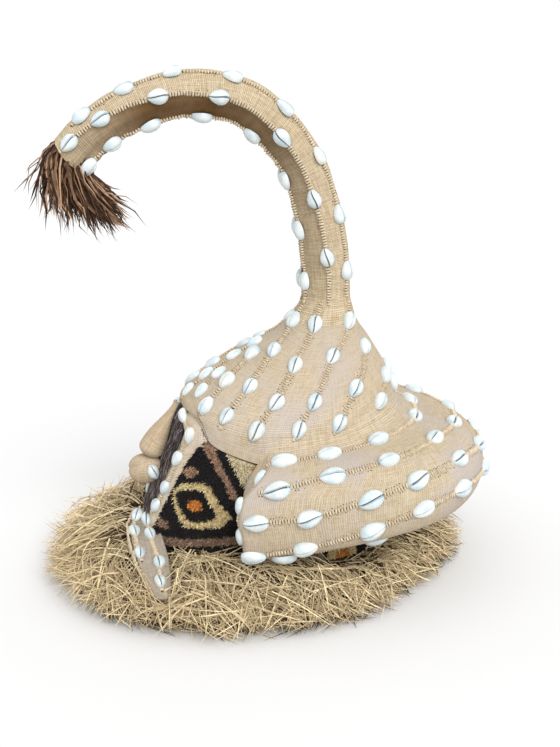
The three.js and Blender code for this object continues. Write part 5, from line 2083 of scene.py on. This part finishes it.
        flat[:, 2] = np.maximum(np.minimum(flat[:, 2], self.ceiling(flat)), 0.9)
        # Painted light and shade: straws low in the heap are mostly dark and straws on top mostly light;
        # loose straws, strays and straws that reach the outer edge are lit more often, the front a little
        # more, and straws rooted near the rim in the hollow at the front on the wearer's right are darker.
        shaded_hollow = ahead * smooth(-start, -0.45, -0.1) * smooth(-signed, -20, 8)
        lit_chance = 0.05 + 0.48 * depth**2.5 + 0.25 * loose + 0.3 * edge + 0.04 * ahead - 0.4 * shaded_hollow
        bright = rng.random(count) < lit_chance
        light = np.where(bright | stray, rng.uniform(0.64, 1, count), rng.uniform(0, 0.2, count))
        width = rng.uniform(0.45, 1.05, count)
        straw = blade.piece(name, paths, width, 0.55, np.clip(light, 0, 1), seed + 10)
        dress(straw, "straw_raffia", ["raffia_collar"], STRAW, angle=70)


@dataclass
class HelmetWall:
    """Cane wall of the helmet, which keeps its solid."""

    node: str = "helmet_shell"

    def build(self) -> None:
        """Gives the wall its cane finish."""
        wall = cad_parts[self.node]
        wall.data.materials.clear()
        wall.data.materials.append(material_of(CaneFinish()))
        log.info("%s: keeps its solid", self.node)


# Studio


@dataclass
class Studio:
    """Pale floor, soft lights and the camera at the photograph's place."""

    azimuth: float = 76.0
    distance: float = 1000.0
    height: float = 497.0
    pitch: float = 16.3
    focal_px: float = 969.0
    image_height: float = 747.0
    axis_shift_px: float = 5.0
    sensor: float = 36.0
    floor_size: float = 60.0

    def camera(self) -> None:
        """Sets up the camera."""
        turn = math.radians(self.azimuth)
        place = np.array([math.sin(turn) * self.distance, -math.cos(turn) * self.distance, self.height])
        data = bpy.data.cameras.new("camera")
        data.lens = self.focal_px / self.image_height * self.sensor
        data.sensor_width = self.sensor
        data.clip_start, data.clip_end = 0.05, 50
        camera = stand("camera", data)
        camera.location = to_frame(place)
        yaw = math.radians(self.azimuth) + math.atan(self.axis_shift_px / self.focal_px)
        camera.rotation_euler = (math.pi / 2 - math.radians(self.pitch), 0, yaw)
        bpy.context.scene.camera = camera

    def sun(self, toward: tuple, power: float, spread: float) -> None:
        """Adds one broad soft light from above.

        Args:
            toward: direction from the mask to the light.
            power: strength of the light.
            spread: how broad the light looks, in degrees.
        """
        data = bpy.data.lights.new("key", "SUN")
        data.energy, data.angle = power, math.radians(spread)
        sun = stand("key", data)
        sun.location = toward
        sun.rotation_euler = (-Vector(toward)).to_track_quat("-Z", "Y").to_euler()

    def build(self) -> None:
        """Builds the studio."""
        scene = bpy.context.scene
        scene.view_settings.view_transform = "Standard"
        deselect_all()
        bpy.ops.mesh.primitive_plane_add(size=self.floor_size)
        floor = take("floor")
        floor.data.materials.append(material_of(FloorFinish()))
        self.sun((1.0, 0.2, 0.9), 2.45, 45)
        world = bpy.data.worlds.new("studio")
        world.use_nodes = True
        world.node_tree.nodes["Background"].inputs["Color"].default_value = (1, 1, 1, 1)
        world.node_tree.nodes["Background"].inputs["Strength"].default_value = 1.0
        scene.world = world
        self.camera()


def main() -> None:
    """Builds the studio and every part of the mask."""
    logging.basicConfig(level=logging.INFO, format="%(name)s %(message)s")
    rows = RowMaker()
    Studio().build()
    HelmetWall().build()
    hat, trunk = ConicalHat(rows), Trunk(rows)
    sewn = Skin(hat.build(), trunk.build())
    hat.sew(sewn)
    trunk.sew(sewn)
    SideRoll(rows).build()
    Face(rows).build()
    PilePanels().build()
    BeardFlap(rows).build()
    RaffiaCollar().build()


if __name__ == "__main__":
    main()
